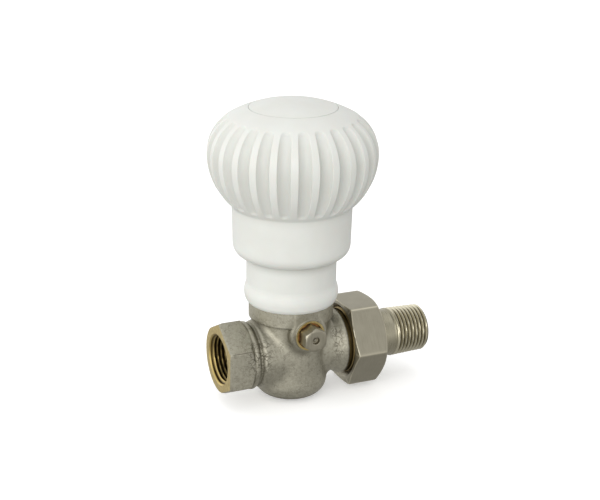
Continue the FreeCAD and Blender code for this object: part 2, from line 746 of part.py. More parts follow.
# Union: nut, tail and flat gasket
def union_nut():
    length = nut_far - nut_near
    bar = hexagon(nut_flats, V(stem_x + nut_near, 0, 0), V(length, 0, 0), V(0, -1, 0))
    ridges = [edge for edge in bar.Edges if abs(edge.tangentAt(edge.FirstParameter).x) > 0.5]
    bar = bar.makeFillet(nut_round, ridges)
    corner_r = nut_flats / math.sqrt(3)
    near_depth = (corner_r - nut_flats / 2) * math.tan(math.radians(nut_chamfer_near))
    far_r = corner_r - nut_bevel / math.tan(math.radians(nut_chamfer_far))
    near_trim = round_pipe([
        (nut_near, nut_flats / 2), (nut_near + near_depth, corner_r), (nut_near, corner_r)])
    far_trim = round_pipe([(nut_far, far_r), (nut_far - nut_bevel, corner_r), (nut_far, corner_r)])
    bore_r = spigot_r + run_gap
    lip_near = flange_end + fit_gap
    lip_r = tail_thread_r + moving_gap
    bore = round_pipe([
        (nut_near, 0), (nut_near, bore_r + nut_mouth_flare), (nut_near + nut_mouth_flare, bore_r),
        (lip_near, bore_r), (lip_near, lip_r), (nut_far, lip_r), (nut_far, 0)])
    return bar.cut([near_trim, far_trim, bore])


def tailpiece():
    outside = round_pipe([
        (flange_start, 0), (flange_start, flange_r), (flange_end, flange_r), (flange_end, tail_r),
        (tail_thread_start - tail_relief, tail_r), (tail_thread_start, tail_thread_r),
        (tail_end - tail_chamfer, tail_thread_r), (tail_end, tail_thread_r - tail_chamfer), (tail_end, 0)])
    key_end = tail_end - tail_key_reach
    whole = rod(V(stem_x + flange_start, 0, 0), V(tail_end - flange_start, 0, 0), tail_bore_r)
    length = V(key_end - flange_end, 0, 0)
    start = V(stem_x + flange_end, 0, 0)
    flats = rod(start, length, tail_bore_r).cut(
        hexagon(2 * (tail_bore_r - tail_key_rise), start, length, V(0, 0, 1)))
    return outside.cut(whole.cut(flats))


def union_gasket():
    outer_r = flange_r - gasket_inset
    return round_pipe([
        (spigot_end, gasket_bore_r), (spigot_end, outer_r), (flange_start, outer_r),
        (flange_start, gasket_bore_r)])


# Side plug
def side_plug():
    length = V(0, plug_seat_y - plug_end_y, 0)
    head = hexagon(plug_flats, V(stem_x + port_x, -plug_seat_y, port_z), length, V(0, 0, 1))
    dimple_y = plug_end_y - plug_dimple_depth
    pip_y = dimple_y + plug_pip_height
    turned = round_port([
        (plug_seat_y, 0), (plug_seat_y, plug_corner_r), (plug_end_y - plug_chamfer, plug_corner_r),
        (plug_end_y, (plug_flats - plug_chamfer) / 2), (plug_end_y, plug_dimple_r), (dimple_y, plug_dimple_r),
        (dimple_y, plug_pip_r), (pip_y, plug_pip_r), (pip_y, 0)])
    shank_r = port_thread_r - fit_gap
    shank = round_port([
        (upper_chamber_r, 0), (upper_chamber_r, shank_r), (plug_seat_y, shank_r), (plug_seat_y, 0)])
    return head.common(turned).fuse(shank).removeSplitter()


def side_plug_seal():
    outer_r = port_sink_r - fit_gap
    return round_port([
        (port_sink_y, port_thread_r), (port_sink_y, outer_r), (plug_seat_y, outer_r),
        (plug_seat_y, port_thread_r)])


nodes = {
    "valve_body": valve_body,
    "bonnet": bonnet,
    "bonnet_seal_ring": bonnet_seal_ring,
    "gland_screw": gland_screw,
    "gland_packing": gland_packing,
    "collar_sleeve": collar_sleeve,
    "side_plug": side_plug,
    "side_plug_seal": side_plug_seal,
    "union_gasket": union_gasket,
    "spindle": spindle,
    "spindle_seal_ring_lower": lambda: spindle_seal_ring(stem_ring_up[0]),
    "spindle_seal_ring_upper": lambda: spindle_seal_ring(stem_ring_up[1]),
    "valve_disc": valve_disc,
    "swivel_clip": swivel_clip,
    "disc_seal": disc_seal,
    "disc_screw": disc_screw,
    "handwheel": handwheel,
    "handwheel_cap": handwheel_cap,
    "handwheel_screw": handwheel_screw,
    "handwheel_washer": handwheel_washer,
    "union_nut": union_nut,
    "tailpiece": tailpiece,
}

for name, make in nodes.items():
    shape = make()
    print(name, "solids", len(shape.Solids), "valid", shape.isValid(), "volume", round(shape.Volume, 1))
    shape.exportStep("parts/" + name + ".step")
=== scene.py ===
from math import acos, asin, atan2, cos, pi, radians, sin, sqrt, tan
import bpy
import numpy as np
from mathutils import Matrix, Vector


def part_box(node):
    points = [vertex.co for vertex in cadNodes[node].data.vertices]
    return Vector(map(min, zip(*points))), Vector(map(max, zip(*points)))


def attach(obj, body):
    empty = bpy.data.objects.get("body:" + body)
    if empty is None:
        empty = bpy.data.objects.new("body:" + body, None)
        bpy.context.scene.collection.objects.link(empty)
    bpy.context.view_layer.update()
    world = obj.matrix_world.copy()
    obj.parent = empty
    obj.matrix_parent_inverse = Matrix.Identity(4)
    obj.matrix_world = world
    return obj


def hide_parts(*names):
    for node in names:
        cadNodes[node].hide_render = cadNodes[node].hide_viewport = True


# Manual radiator valve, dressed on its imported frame.
# Sizes in the dictionaries are millimetres and degrees; meshes are written in metres.
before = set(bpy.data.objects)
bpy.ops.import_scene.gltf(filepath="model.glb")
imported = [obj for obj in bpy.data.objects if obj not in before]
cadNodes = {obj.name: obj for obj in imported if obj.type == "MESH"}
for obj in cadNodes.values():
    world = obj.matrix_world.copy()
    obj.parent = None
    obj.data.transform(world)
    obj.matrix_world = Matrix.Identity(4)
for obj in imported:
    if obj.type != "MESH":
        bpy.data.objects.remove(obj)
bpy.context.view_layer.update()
mm = 0.001
fullTurn = 2 * pi
halfSide = pi / 6


def boxOf(node):
    low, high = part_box(node)
    return np.array(low) / mm, np.array(high) / mm


wheelLow, wheelHigh = boxOf("handwheel")
capLow, capHigh = boxOf("handwheel_cap")
collarLow, collarHigh = boxOf("collar_sleeve")
nutLow, nutHigh = boxOf("union_nut")
tailLow, tailHigh = boxOf("tailpiece")
plugLow, plugHigh = boxOf("side_plug")
bodyLow = boxOf("valve_body")[0]
stemX = (wheelLow[0] + wheelHigh[0]) / 2
portX = (plugLow[0] + plugHigh[0]) / 2
portZ = (plugLow[2] + plugHigh[2]) / 2
print("frame loaded:", len(cadNodes), "nodes, stem at", round(stemX, 2), "mm")


def pick(values, keys):
    return [values[key] for key in keys.split()]


# Outlines: rows of two numbers, a radius and a place along the axis
joined = np.concatenate


def straight(start, end, count):
    # even steps along a line, its end left out
    t = np.linspace(0, 1, count, endpoint=False)[:, None]
    return np.array(start) * (1 - t) + np.array(end) * t


def lines(points, counts):
    # a straight run from each point to the next, the last point left out
    return [straight(a, b, n) for a, b, n in zip(points, points[1:], counts)]


def steps(marks, counts):
    # even steps from mark to mark, the last mark left out
    runs = zip(marks, marks[1:], counts)
    return joined([np.linspace(a, b, n, endpoint=False) for a, b, n in runs])


def arcThrough(centre, radius, angles):
    return np.stack([centre[0] + radius * np.cos(angles), centre[1] + radius * np.sin(angles)], axis=1)


def bowed(start, middle, end, count):
    # quadratic curve that passes through a middle point
    t = np.linspace(0, 1, count, endpoint=False)[:, None]
    start, middle, end = np.array(start), np.array(middle), np.array(end)
    pull = 2 * middle - (start + end) / 2
    return (1 - t) ** 2 * start + 2 * t * (1 - t) * pull + t ** 2 * end


def softened(outline, passes):
    # each pass moves every row but the ends halfway to the mean of its neighbours, which rounds the corners
    for _ in range(passes):
        before, after = np.roll(outline, 1, axis=0), np.roll(outline, -1, axis=0)
        eased = (before + 2 * outline + after) / 4
        eased[0], eased[-1] = outline[0], outline[-1]
        outline = eased
    return outline


def softMin(a, b, softness):
    # the smaller of two values, rounded over where they cross
    return (a + b - np.sqrt((a - b) ** 2 + softness ** 2)) / 2


def softPositive(a, softness):
    # zero below nothing, the value itself above it, rounded in between
    return (a + np.sqrt(a ** 2 + softness ** 2)) / 2


def hexRadius(angle, flats, softness, leastCosine=0.2):
    # distance from the middle of a hexagon to its side, with rounded corners
    turns = [np.abs(np.cos(angle - k * 2 * halfSide)) for k in range(3)]
    sides = [flats / 2 / np.maximum(turn, leastCosine) for turn in turns]
    return softMin(softMin(sides[0], sides[1], softness), sides[2], softness)


def wornHighlightShare(angle, hexagon, cones, width):
    # share of the painted highlight on worn edges: 1 on the six corner edges of a hexagon and where its flats
    # meet the end cones, 0 a width away
    offCorner = np.abs(np.mod(angle + halfSide, 2 * halfSide) - halfSide) * hexagon
    offCone = [np.abs(hexagon - cone) for cone in cones]
    nearest = np.minimum.reduce(np.broadcast_arrays(offCorner, *offCone))
    return np.clip(1 - nearest / width, 0, 1)


def threadShare(place, angle, pitch, flat=0.13):
    # 0 on the crest and 1 in the root of a helical V thread with narrow flats
    phase = np.mod(place / pitch - angle / fullTurn, 1)
    return np.clip((np.abs(2 * phase - 1) - flat) / (1 - 2 * flat), 0, 1)


# Surfaces
noQuads = np.zeros((0, 4), int)
noTriangles = np.zeros((0, 3), int)


def turnAngles(size):
    columns = size["columns"]
    return np.arange(columns)[None, :] * fullTurn / columns


def stacked(x, y, z):
    return np.stack(np.broadcast_arrays(x, y, z), axis=-1)


def aboutStem(radius, height, angle):
    return stacked(stemX + radius * np.cos(angle), radius * np.sin(angle), height)


def aboutPipe(radius, reach, angle):
    return stacked(reach, -radius * np.cos(angle), radius * np.sin(angle))


def aboutPort(radius, depth, angle):
    return stacked(portX + radius * np.sin(angle), depth, portZ + radius * np.cos(angle))


def gridFaces(rows, columns, ring):
    # four corners of each cell; columns always close, rows close when the outline is a ring
    row, column = np.meshgrid(np.arange(rows if ring else rows - 1), np.arange(columns), indexing="ij")
    nextRow, nextColumn = (row + 1) % rows, (column + 1) % columns
    corners = [row * columns + column, nextRow * columns + column,
               nextRow * columns + nextColumn, row * columns + nextColumn]
    return np.stack(corners, axis=-1).reshape(-1, 4)


def poleFaces(firstRow, columns, pole, flip):
    # triangles from one row of the grid to a single point
    a = firstRow + np.arange(columns)
    b = firstRow + (np.arange(columns) + 1) % columns
    corners = [b, a, np.full(columns, pole)] if flip else [a, b, np.full(columns, pole)]
    return np.stack(corners, axis=-1)


def enclosed(points, faces):
    # six times the volume that the faces enclose, positive when they point outwards
    fan = [points[faces[:, k]] for k in range(faces.shape[1])]
    pairs = zip(fan[1:-1], fan[2:])
    return sum(np.einsum("ij,ij->", fan[0], np.cross(b, c)) for b, c in pairs)


def meshOf(points, quads, triangles, size):
    volume = enclosed(points, quads) + enclosed(points, triangles)
    if volume < 0:
        quads, triangles = quads[:, ::-1], triangles[:, ::-1]
    corners = joined([quads.ravel(), triangles.ravel()]).astype(np.int32)
    starts = joined([np.arange(len(quads)) * 4, len(quads) * 4 + np.arange(len(triangles)) * 3])
    mesh = bpy.data.meshes.new("piece")
    mesh.vertices.add(len(points))
    mesh.vertices.foreach_set("co", (points * mm).astype(np.float32).ravel())
    mesh.loops.add(len(corners))
    mesh.loops.foreach_set("vertex_index", corners)
    mesh.polygons.add(len(starts))
    mesh.polygons.foreach_set("loop_start", starts.astype(np.int32))
    mesh.update(calc_edges=True)
    mesh.validate()
    mesh.shade_smooth()
    mesh.set_sharp_from_angle(angle=radians(size["sharp"]))
    return mesh


def ringMesh(points, size):
    # a grid that closes on itself both ways
    rows, columns = points.shape[:2]
    return meshOf(points.reshape(-1, 3), gridFaces(rows, columns, True), noTriangles, size)


def cappedMesh(points, size):
    # a grid whose first and last rows lie on the axis: each becomes one point
    rows, columns = points.shape[:2]
    inner = points[1:-1].reshape(-1, 3)
    poles = np.stack([points[0, 0], points[-1, 0]])
    quads = gridFaces(rows - 2, columns, False)
    low = poleFaces(0, columns, len(inner), False)
    high = poleFaces((rows - 3) * columns, columns, len(inner) + 1, True)
    return meshOf(joined([inner, poles]), quads, joined([low, high]), size)


def roundOutline(outline, size):
    # an outline turned about the stem
    return aboutStem(outline[:, :1], outline[:, 1:], turnAngles(size))


def sleeveMesh(reach, surface, backRadius, size):
    # a threaded surface about the pipe, closed by a plain wall behind it
    back = np.linspace(reach[-1, 0], reach[0, 0], size["backRows"])[:, None]
    radius = joined([surface, np.full((len(back), size["columns"]), backRadius)])
    place = joined([reach, back])
    return ringMesh(aboutPipe(radius, place, turnAngles(size)), size)


def addObject(name, data):
    data.name = name
    thing = bpy.data.objects.new(name, data)
    bpy.context.scene.collection.objects.link(thing)
    return thing


def addPiece(name, mesh, body, slotName, materials, *replaced):
    piece = addObject(name, mesh)
    for material in materials:
        mesh.materials.append(material)
    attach(piece, body)
    if replaced:
        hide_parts(*replaced)
    print("piece", name, "faces", len(mesh.polygons))


# Material tools, which find the node tree through a socket. Each look gives rough as lowest and highest,
# bump as strength and depth, and the painted shade in corners as reach, the openness of a corner and that
# of a clear place.
noiseLow, noiseHigh = 0.3, 0.7
raySamples = 8


def newMaterial(name, sockets):
    material = bpy.data.materials.new(name)
    material.use_nodes = True
    tree = material.node_tree
    shader = tree.nodes["Principled BSDF"]
    for socket, value in sockets.items():
        shader.inputs[socket].default_value = value
    return material, tree, shader


def addNode(tree, kind, inputs, **settings):
    node = tree.nodes.new("ShaderNode" + kind)
    for key, value in settings.items():
        setattr(node, key, value)
    for key, value in inputs.items():
        if isinstance(value, bpy.types.NodeSocket):
            tree.links.new(value, node.inputs[key])
        else:
            node.inputs[key].default_value = value
    return node


def objectPlace(tree, scale=(1, 1, 1)):
    # object coordinates in millimetres, stretched by scale
    coordinates = addNode(tree, "TexCoord", {}).outputs["Object"]
    stretch = Vector(scale) / mm
    return addNode(tree, "Mapping", {"Vector": coordinates, "Scale": stretch}).outputs["Vector"]


def axesOf(place):
    return addNode(place.id_data, "SeparateXYZ", {0: place}).outputs


def noise(place, scale, detail=2.0, rough=0.5):
    inputs = {"Vector": place, "Scale": scale, "Detail": detail, "Roughness": rough}
    return addNode(place.id_data, "TexNoise", inputs).outputs["Fac"]


def spread(value, low, high, toLow=0.0, toHigh=1.0):
    inputs = {"Value": value, "From Min": low, "From Max": high, "To Min": toLow, "To Max": toHigh}
    return addNode(value.id_data, "MapRange", inputs).outputs["Result"]


def fall(value, low, high):
    # 1 below the low mark, 0 above the high one
    return spread(value, low, high, 1.0, 0.0)


def compute(operation, a, b):
    return addNode(a.id_data, "Math", {0: a, 1: b}, operation=operation).outputs[0]


def times(a, b):
    return compute("MULTIPLY", a, b)


def mixed(share, a, b):
    # share of a plus the rest of b
    return compute("ADD", times(a, share), times(b, 1 - share))


def combineVectors(operation, inputs, output="Vector"):
    return addNode(inputs[0].id_data, "VectorMath", inputs, operation=operation).outputs[output]


def nearPlace(value, middle, span, core=0.3):
    # 1 within the core of a span about the middle, falling to 0 one span away
    gap = compute("ABSOLUTE", compute("SUBTRACT", value, middle), 0.0)
    return fall(gap, core * span, span)


def fromLine(axes, across, centre=(0.0, 0.0, 0.0)):
    # distance from a line through centre, measured on the two axes that across names
    flat = {name: axes[name] if name in across else 0.0 for name in "XYZ"}
    place = addNode(axes[0].id_data, "CombineXYZ", flat).outputs[0]
    return combineVectors("DISTANCE", {0: place, 1: centre}, "Value")


def cellEdges(place, scale, width):
    # 1 on the edges of a cell pattern, 0 away from them
    inputs = {"Vector": place, "Scale": scale}
    cells = addNode(place.id_data, "TexVoronoi", inputs, feature="DISTANCE_TO_EDGE")
    return fall(cells.outputs["Distance"], *width)


def blend(share, a, b):
    return addNode(share.id_data, "Mix", {0: share, 6: a, 7: b}, data_type="RGBA").outputs[2]


def twoTone(value, look, low=noiseLow, high=noiseHigh):
    return blend(spread(value, low, high), look["dark"], look["light"])


def paintedCornerShade(colour, look):
    # painted shade: the look's corner colour where walls close in, read from ambient occlusion,
    # and the given colour in the open
    reach, low, high = look["paintedShade"]
    shade = addNode(colour.id_data, "AmbientOcclusion", {"Distance": reach * mm}, samples=raySamples)
    return blend(spread(shade.outputs["AO"], low, high), look["corner"], colour)


def dress(shader, look, colour, roughFrom, height, wornEdge=None):
    # colour, roughness that follows a texture, and a bump, on edges worn round where that is asked for
    tree = shader.id_data
    strength, depth = look["bump"]
    inputs = {"Height": height, "Strength": strength, "Distance": depth * mm}
    if wornEdge is not None:
        bevel = addNode(tree, "Bevel", {"Radius": wornEdge}, samples=raySamples)
        inputs["Normal"] = bevel.outputs["Normal"]
    rough = spread(roughFrom, noiseLow, noiseHigh, *look["rough"])
    normal = addNode(tree, "Bump", inputs).outputs["Normal"]
    for socket, value in (("Base Color", colour), ("Roughness", rough), ("Normal", normal)):
        tree.links.new(value, shader.inputs[socket])


# Moulded white plastic of the wheel and collar
plasticLook = dict(
    light=(0.685, 0.695, 0.662, 1), shade=(0.665, 0.672, 0.635, 1), cloud=0.12, cloudRange=(0.35, 0.65),
    corner=(0.43, 0.435, 0.395, 1), paintedShade=(3.6, 0.62, 0.97), grain=3.5, rough=(0.37, 0.49),
    bump=(0.12, 0.05), refraction=1.5, scatter=0.06, scatterReach=2.0)


def whitePlastic(name, look):
    material, tree, shader = newMaterial(name, {
        "IOR": look["refraction"], "Subsurface Weight": look["scatter"],
        "Subsurface Scale": look["scatterReach"] * mm})
    place = objectPlace(tree)
    cloud = spread(noise(place, look["cloud"]), *look["cloudRange"])
    # painted shade darkens the flutes and the other corners
    colour = paintedCornerShade(blend(cloud, look["light"], look["shade"]), look)
    grain = noise(place, look["grain"], 3)
    dress(shader, look, colour, grain, grain)
    return material


# Nickel plate over a blasted hot stamping, wrinkled at the waists and creased along one edge of the flats
castLook = dict(
    dark=(0.33, 0.312, 0.25, 1), light=(0.475, 0.455, 0.37, 1), toneRange=(0.15, 0.8),
    corner=(0.17, 0.157, 0.113, 1), paintedShade=(3.2, 0.35, 0.85), fold=(0.095, 0.084, 0.06, 1),
    rough=(0.42, 0.60), bump=(0.6, 0.24), grainHeight=0.2, pitHeight=0.5, markDepth=0.45,
    patch=0.20, grain=4.2, pits=1.5, pitRough=0.62, mottleRange=(0.34, 0.66), mottleShare=0.5,
    shake=0.7, shakeReach=2.2, wrinkle=0.62, wrinkleWidth=(0.01, 0.10),
    wrinklePatch=0.30, wrinkleRange=(0.31, 0.43), wrinkleFoot=(-7.0, 2.0), wrinkleTop=(7.0, 9.0),
    inletWaist=10.5, inletSpan=7.0, outletWaist=13.6, outletSpan=3.0, outletShare=0.8,
    crackle=1.1, crackleWidth=(0.02, 0.12), cracklePatch=0.55, crackleRange=(0.45, 0.62), crackleShare=0.38,
    creaseY=-11.50, creaseZ=6.12, creaseWidth=(0.064, 0.256), creaseEnd=(7.8, 8.8), creaseShare=0.8,
    portShade=6.7, portSpan=2.2, portSide=(-3.0, 2.0), portBack=(-8.0, -6.0), portShare=0.45,
    wornEdge=0.9, saddleEdge=4.0, saddleX=20.0, saddleSpan=7.5, saddleTop=(6.5, 8.5))


def foldMarks(place, axes, look):
    # folds at the two waists, and a fine crackle in patches everywhere
    wave = addNode(place.id_data, "TexNoise", {"Vector": place, "Scale": look["shake"], "Detail": 2.0})
    shake = combineVectors("SCALE", {0: wave.outputs["Color"], "Scale": look["shakeReach"]})
    bent = combineVectors("ADD", {0: place, 1: shake})
    inlet = nearPlace(axes["X"], look["inletWaist"], look["inletSpan"])
    outlet = nearPlace(axes["X"], stemX + look["outletWaist"], look["outletSpan"])
    waists = compute("MAXIMUM", inlet, times(outlet, look["outletShare"]))
    broken = spread(noise(place, look["wrinklePatch"], 2), *look["wrinkleRange"])
    level = times(spread(axes["Z"], *look["wrinkleFoot"]), fall(axes["Z"], *look["wrinkleTop"]))
    foldShare = times(times(waists, broken), level)
    folds = times(cellEdges(bent, look["wrinkle"], look["wrinkleWidth"]), foldShare)
    patches = noise(place, look["cracklePatch"], 2)
    fineShare = spread(patches, *look["crackleRange"], 0.0, look["crackleShare"])
    fine = times(cellEdges(bent, look["crackle"], look["crackleWidth"]), fineShare)
    return compute("MAXIMUM", folds, fine)


def creaseMark(axes, look):
    # a line along the front edge of the flats
    gap = fromLine(axes, "YZ", (0.0, look["creaseY"], look["creaseZ"]))
    crease = times(fall(gap, *look["creaseWidth"]), fall(axes["X"], *look["creaseEnd"]))
    return times(crease, look["creaseShare"])


def paintedPortShade(axes, look):
    # painted shade in the hollow on the inlet's side of the port, where the fillet left of the boss lies in
    # shadow
    gap = fromLine(axes, "XZ", (portX, 0.0, portZ))
    near, far = (portX + side for side in look["portSide"])
    side = spread(axes["X"], near, far, look["portShare"], 0.0)
    portShadeShare = times(nearPlace(gap, look["portShade"], look["portSpan"]), side)
    return times(portShadeShare, fall(axes["Y"], *look["portBack"]))


def edgeRadius(axes, look):
    # edges are worn round, and the saddle between the inlet and the barrel is softer still
    saddle = times(nearPlace(axes["X"], look["saddleX"], look["saddleSpan"]),
                   fall(axes["Z"], *look["saddleTop"]))
    return spread(saddle, 0.0, 1.0, look["wornEdge"] * mm, look["saddleEdge"] * mm)


def castNickel(name, look):
    material, tree, shader = newMaterial(name, {"Metallic": 1.0})
    place = objectPlace(tree)
    axes = axesOf(place)
    pits = noise(place, look["pits"], 4, look["pitRough"])
    patch = noise(place, look["patch"], 3)
    tone = mixed(look["mottleShare"], spread(pits, *look["mottleRange"]), patch)
    marks = compute("MAXIMUM", foldMarks(place, axes, look), creaseMark(axes, look))
    colour = blend(marks, twoTone(tone, look, *look["toneRange"]), look["fold"])
    # painted shade round the port and in the corners, laid over the fold and crease marks
    colour = paintedCornerShade(blend(paintedPortShade(axes, look), colour, look["corner"]), look)
    grain = noise(place, look["grain"], 2)
    height = compute("ADD", times(grain, look["grainHeight"]), times(pits, look["pitHeight"]))
    height = compute("SUBTRACT", height, times(marks, look["markDepth"]))
    dress(shader, look, colour, pits, height, edgeRadius(axes, look))
    return material


# Nickel plate over turned brass, with fine tool marks across the axis of the pipe
# The pale colour for the nut's worn edges is a painted highlight; the corner colour is painted shade.
turnedLook = dict(
    dark=(0.295, 0.274, 0.212, 1), light=(0.385, 0.36, 0.283, 1), wornHighlight=(0.62, 0.58, 0.455, 1),
    corner=(0.19, 0.155, 0.10, 1), paintedShade=(1.0, 0.0, 0.6), rough=(0.30, 0.46), bump=(0.18, 0.05),
    marks=(7.0, 0.25, 0.25), cloud=0.3, cloudShare=0.3)


def paintedThreadLight(colour, look, size):
    # painted highlight on the crests and painted shade in the roots of the taper thread, read from the
    # distance to the pipe's axis
    axes = axesOf(objectPlace(colour.id_data))
    start, end = tailHigh[0] - size["threadLength"], tailHigh[0]
    lost = spread(axes["X"], start, end, 0.0, size["threadLength"] / (2 * size["taper"]))
    fromAxis = compute("ADD", fromLine(axes, "YZ"), lost)
    root = size["thread"] - size["threadDepth"]
    crest = size["thread"] - size["threadDepth"] * look["crestShare"]
    threadLightAndShade = blend(fall(fromAxis, root, crest), look["crest"], look["root"])
    onThread = compute("GREATER_THAN", axes["X"], start + look["threadFrom"])
    return blend(onThread, colour, threadLightAndShade)


def turnedNickel(name, look, threadSize=None):
    material, tree, shader = newMaterial(name, {"Metallic": 1.0})
    marks = noise(objectPlace(tree, look["marks"]), 1.0, 3)
    cloud = noise(objectPlace(tree), look["cloud"], 3)
    colour = twoTone(mixed(look["cloudShare"], cloud, marks), look)
    if threadSize:
        colour = paintedThreadLight(colour, look, threadSize)
    else:
        # painted highlight on the nut's worn edges, read from its attribute, over painted shade in corners
        wornHighlight = addNode(tree, "Attribute", {}, attribute_name="wornHighlight").outputs["Fac"]
        colour = blend(wornHighlight, paintedCornerShade(colour, look), look["wornHighlight"])
    dress(shader, look, colour, marks, marks)
    return material


# Bare brass where the tool has cut through the plating
brassLook = dict(
    dark=(0.42, 0.32, 0.125, 1), light=(0.62, 0.50, 0.225, 1), corner=(0.17, 0.085, 0.02, 1),
    paintedShade=(2.5, 0.15, 0.8), rough=(0.29, 0.46), bump=(0.15, 0.05), cloud=0.9, marks=6.0, metal=1.0)
# the rim's darker brass is painted shade of the gap between the body and the nut
rimLook = dict(
    brassLook, dark=(0.22, 0.165, 0.07, 1), light=(0.34, 0.262, 0.118, 1), corner=(0.05, 0.03, 0.010, 1),
    cloud=0.3)
sinkLook = dict(
    brassLook, dark=(0.40, 0.19, 0.045, 1), light=(0.60, 0.33, 0.09, 1), corner=(0.30, 0.12, 0.022, 1),
    rough=(0.45, 0.62), metal=0.25)


def bareBrass(name, look):
    material, tree, shader = newMaterial(name, {"Metallic": look["metal"]})
    place = objectPlace(tree)
    # painted shade in corners
    colour = paintedCornerShade(twoTone(noise(place, look["cloud"], 3), look), look)
    marks = noise(place, look["marks"], 2)
    dress(shader, look, colour, marks, marks)
    return material


# Threaded brass: brass colour on the crests near the mouth, painted shade in the roots and deeper in the bore
boreLook = dict(
    dark=(0.035, 0.022, 0.008, 1), light=(0.50, 0.385, 0.15, 1), root=(0.035, 0.019, 0.007, 1),
    roughness=0.34, darkReach=(1.2, 7.5), crestToRoot=(7.62, 8.25), chamferEnd=(0.5, 0.9))


def boreBrassWithPaintedShade(name, look):
    material, tree, shader = newMaterial(name, {"Metallic": 1.0, "Roughness": look["roughness"]})
    axes = axesOf(objectPlace(tree))
    # painted shade that deepens into the bore, and in the thread roots
    colour = blend(spread(axes["X"], *look["darkReach"]), look["light"], look["dark"])
    root = times(spread(fromLine(axes, "YZ"), *look["crestToRoot"]),
                 spread(axes["X"], *look["chamferEnd"]))
    tree.links.new(blend(root, colour, look["root"]), shader.inputs["Base Color"])
    return material


# Plain inner finishes
innerBump = (0.2, 0.05)
innerLooks = dict(
    bright_steel=dict(
        dark=(0.42, 0.42, 0.43, 1), light=(0.58, 0.58, 0.59, 1), metal=1.0, rough=(0.24, 0.38), cloud=2.0),
    black_rubber=dict(
        dark=(0.012, 0.012, 0.013, 1), light=(0.03, 0.03, 0.031, 1), metal=0.0, rough=(0.49, 0.63),
        cloud=3.0),
    red_fibre=dict(
        dark=(0.19, 0.05, 0.03, 1), light=(0.30, 0.09, 0.05, 1), metal=0.0, rough=(0.69, 0.83), cloud=4.0),
    packing=dict(
        dark=(0.55, 0.53, 0.48, 1), light=(0.72, 0.70, 0.64, 1), metal=0.0, rough=(0.54, 0.68), cloud=3.0))


def innerFinish(name, look):
    material, tree, shader = newMaterial(name, {"Metallic": look["metal"]})
    cloud = noise(objectPlace(tree), look["cloud"], 4)
    dress(shader, dict(look, bump=innerBump), twoTone(cloud, look), cloud, cloud)
    return material


wheelFinish = whitePlastic("white_plastic_finish", plasticLook)
bodyFinish = castNickel("cast_nickel_finish", castLook)
unionFinish = turnedNickel("turned_nickel_finish", turnedLook)
brassFinish = bareBrass("bare_brass_finish", brassLook)
boreFinish = boreBrassWithPaintedShade("threaded_brass_finish", boreLook)
sinkFinish = bareBrass("sunk_brass_finish", sinkLook)
rimFinish = bareBrass("union_rim_finish", rimLook)
steelFinish, rubberFinish, fibreFinish, packingFinish = [
    innerFinish(name + "_finish", look) for name, look in innerLooks.items()]
print("materials made")


# Handwheel: a hollow globe on a skirt, with flutes cut round it. The crowd values say how far rows gather,
# in millimetres or radians, about the skirt's top, the seam and the ends of the flutes.
handwheelSize = dict(
    globe=27.7, shoulder=13.9, crown=44.0, under=22.5, wall=2.7,
    skirtTop=19.7, skirtLow=19.4, skirtFoot=16.66, opening=15.2, skirtWall=2.0,
    footHeight=4.7, footOut=0.86, footDown=0.5, capHole=14.35, screwHole=4.9, plate=2.2,
    capPlug=1.2, hub=6.5, hubHeight=20.9, square=5.6, squareCorner=3.55, seatDrop=3.8,
    flutes=26, fluteRadius=2.25, fluteDepth=1.6, fluteEndDepth=0.7, fluteTurn=5.2,
    fluteTop=54.0, fluteFoot=40.0, ribSoftness=0.08,
    webs=6, webThickness=1.6, webHeight=16.7, webSoftness=0.15, webGap=0.1,
    fluteColumns=(0.0, 0.6, 1.15, 1.6, 1.9, 2.06, 2.13, 2.19, 2.27, 2.45, 2.85), sharp=50,
    skirtCrowd=1.2, seamDepth=0.4, seamCrowd=0.008, footCrowd=(0.08, -0.015), topCrowd=(-0.02, 0.13))
wheelStretches = (
    "lip foot skirt skirtTop under shoulder crown seam capWall seat screwHole washer square hubFoot hubSide "
    "webRoot plate innerShoulder innerUnder innerSkirt innerFoot innerLip").split()


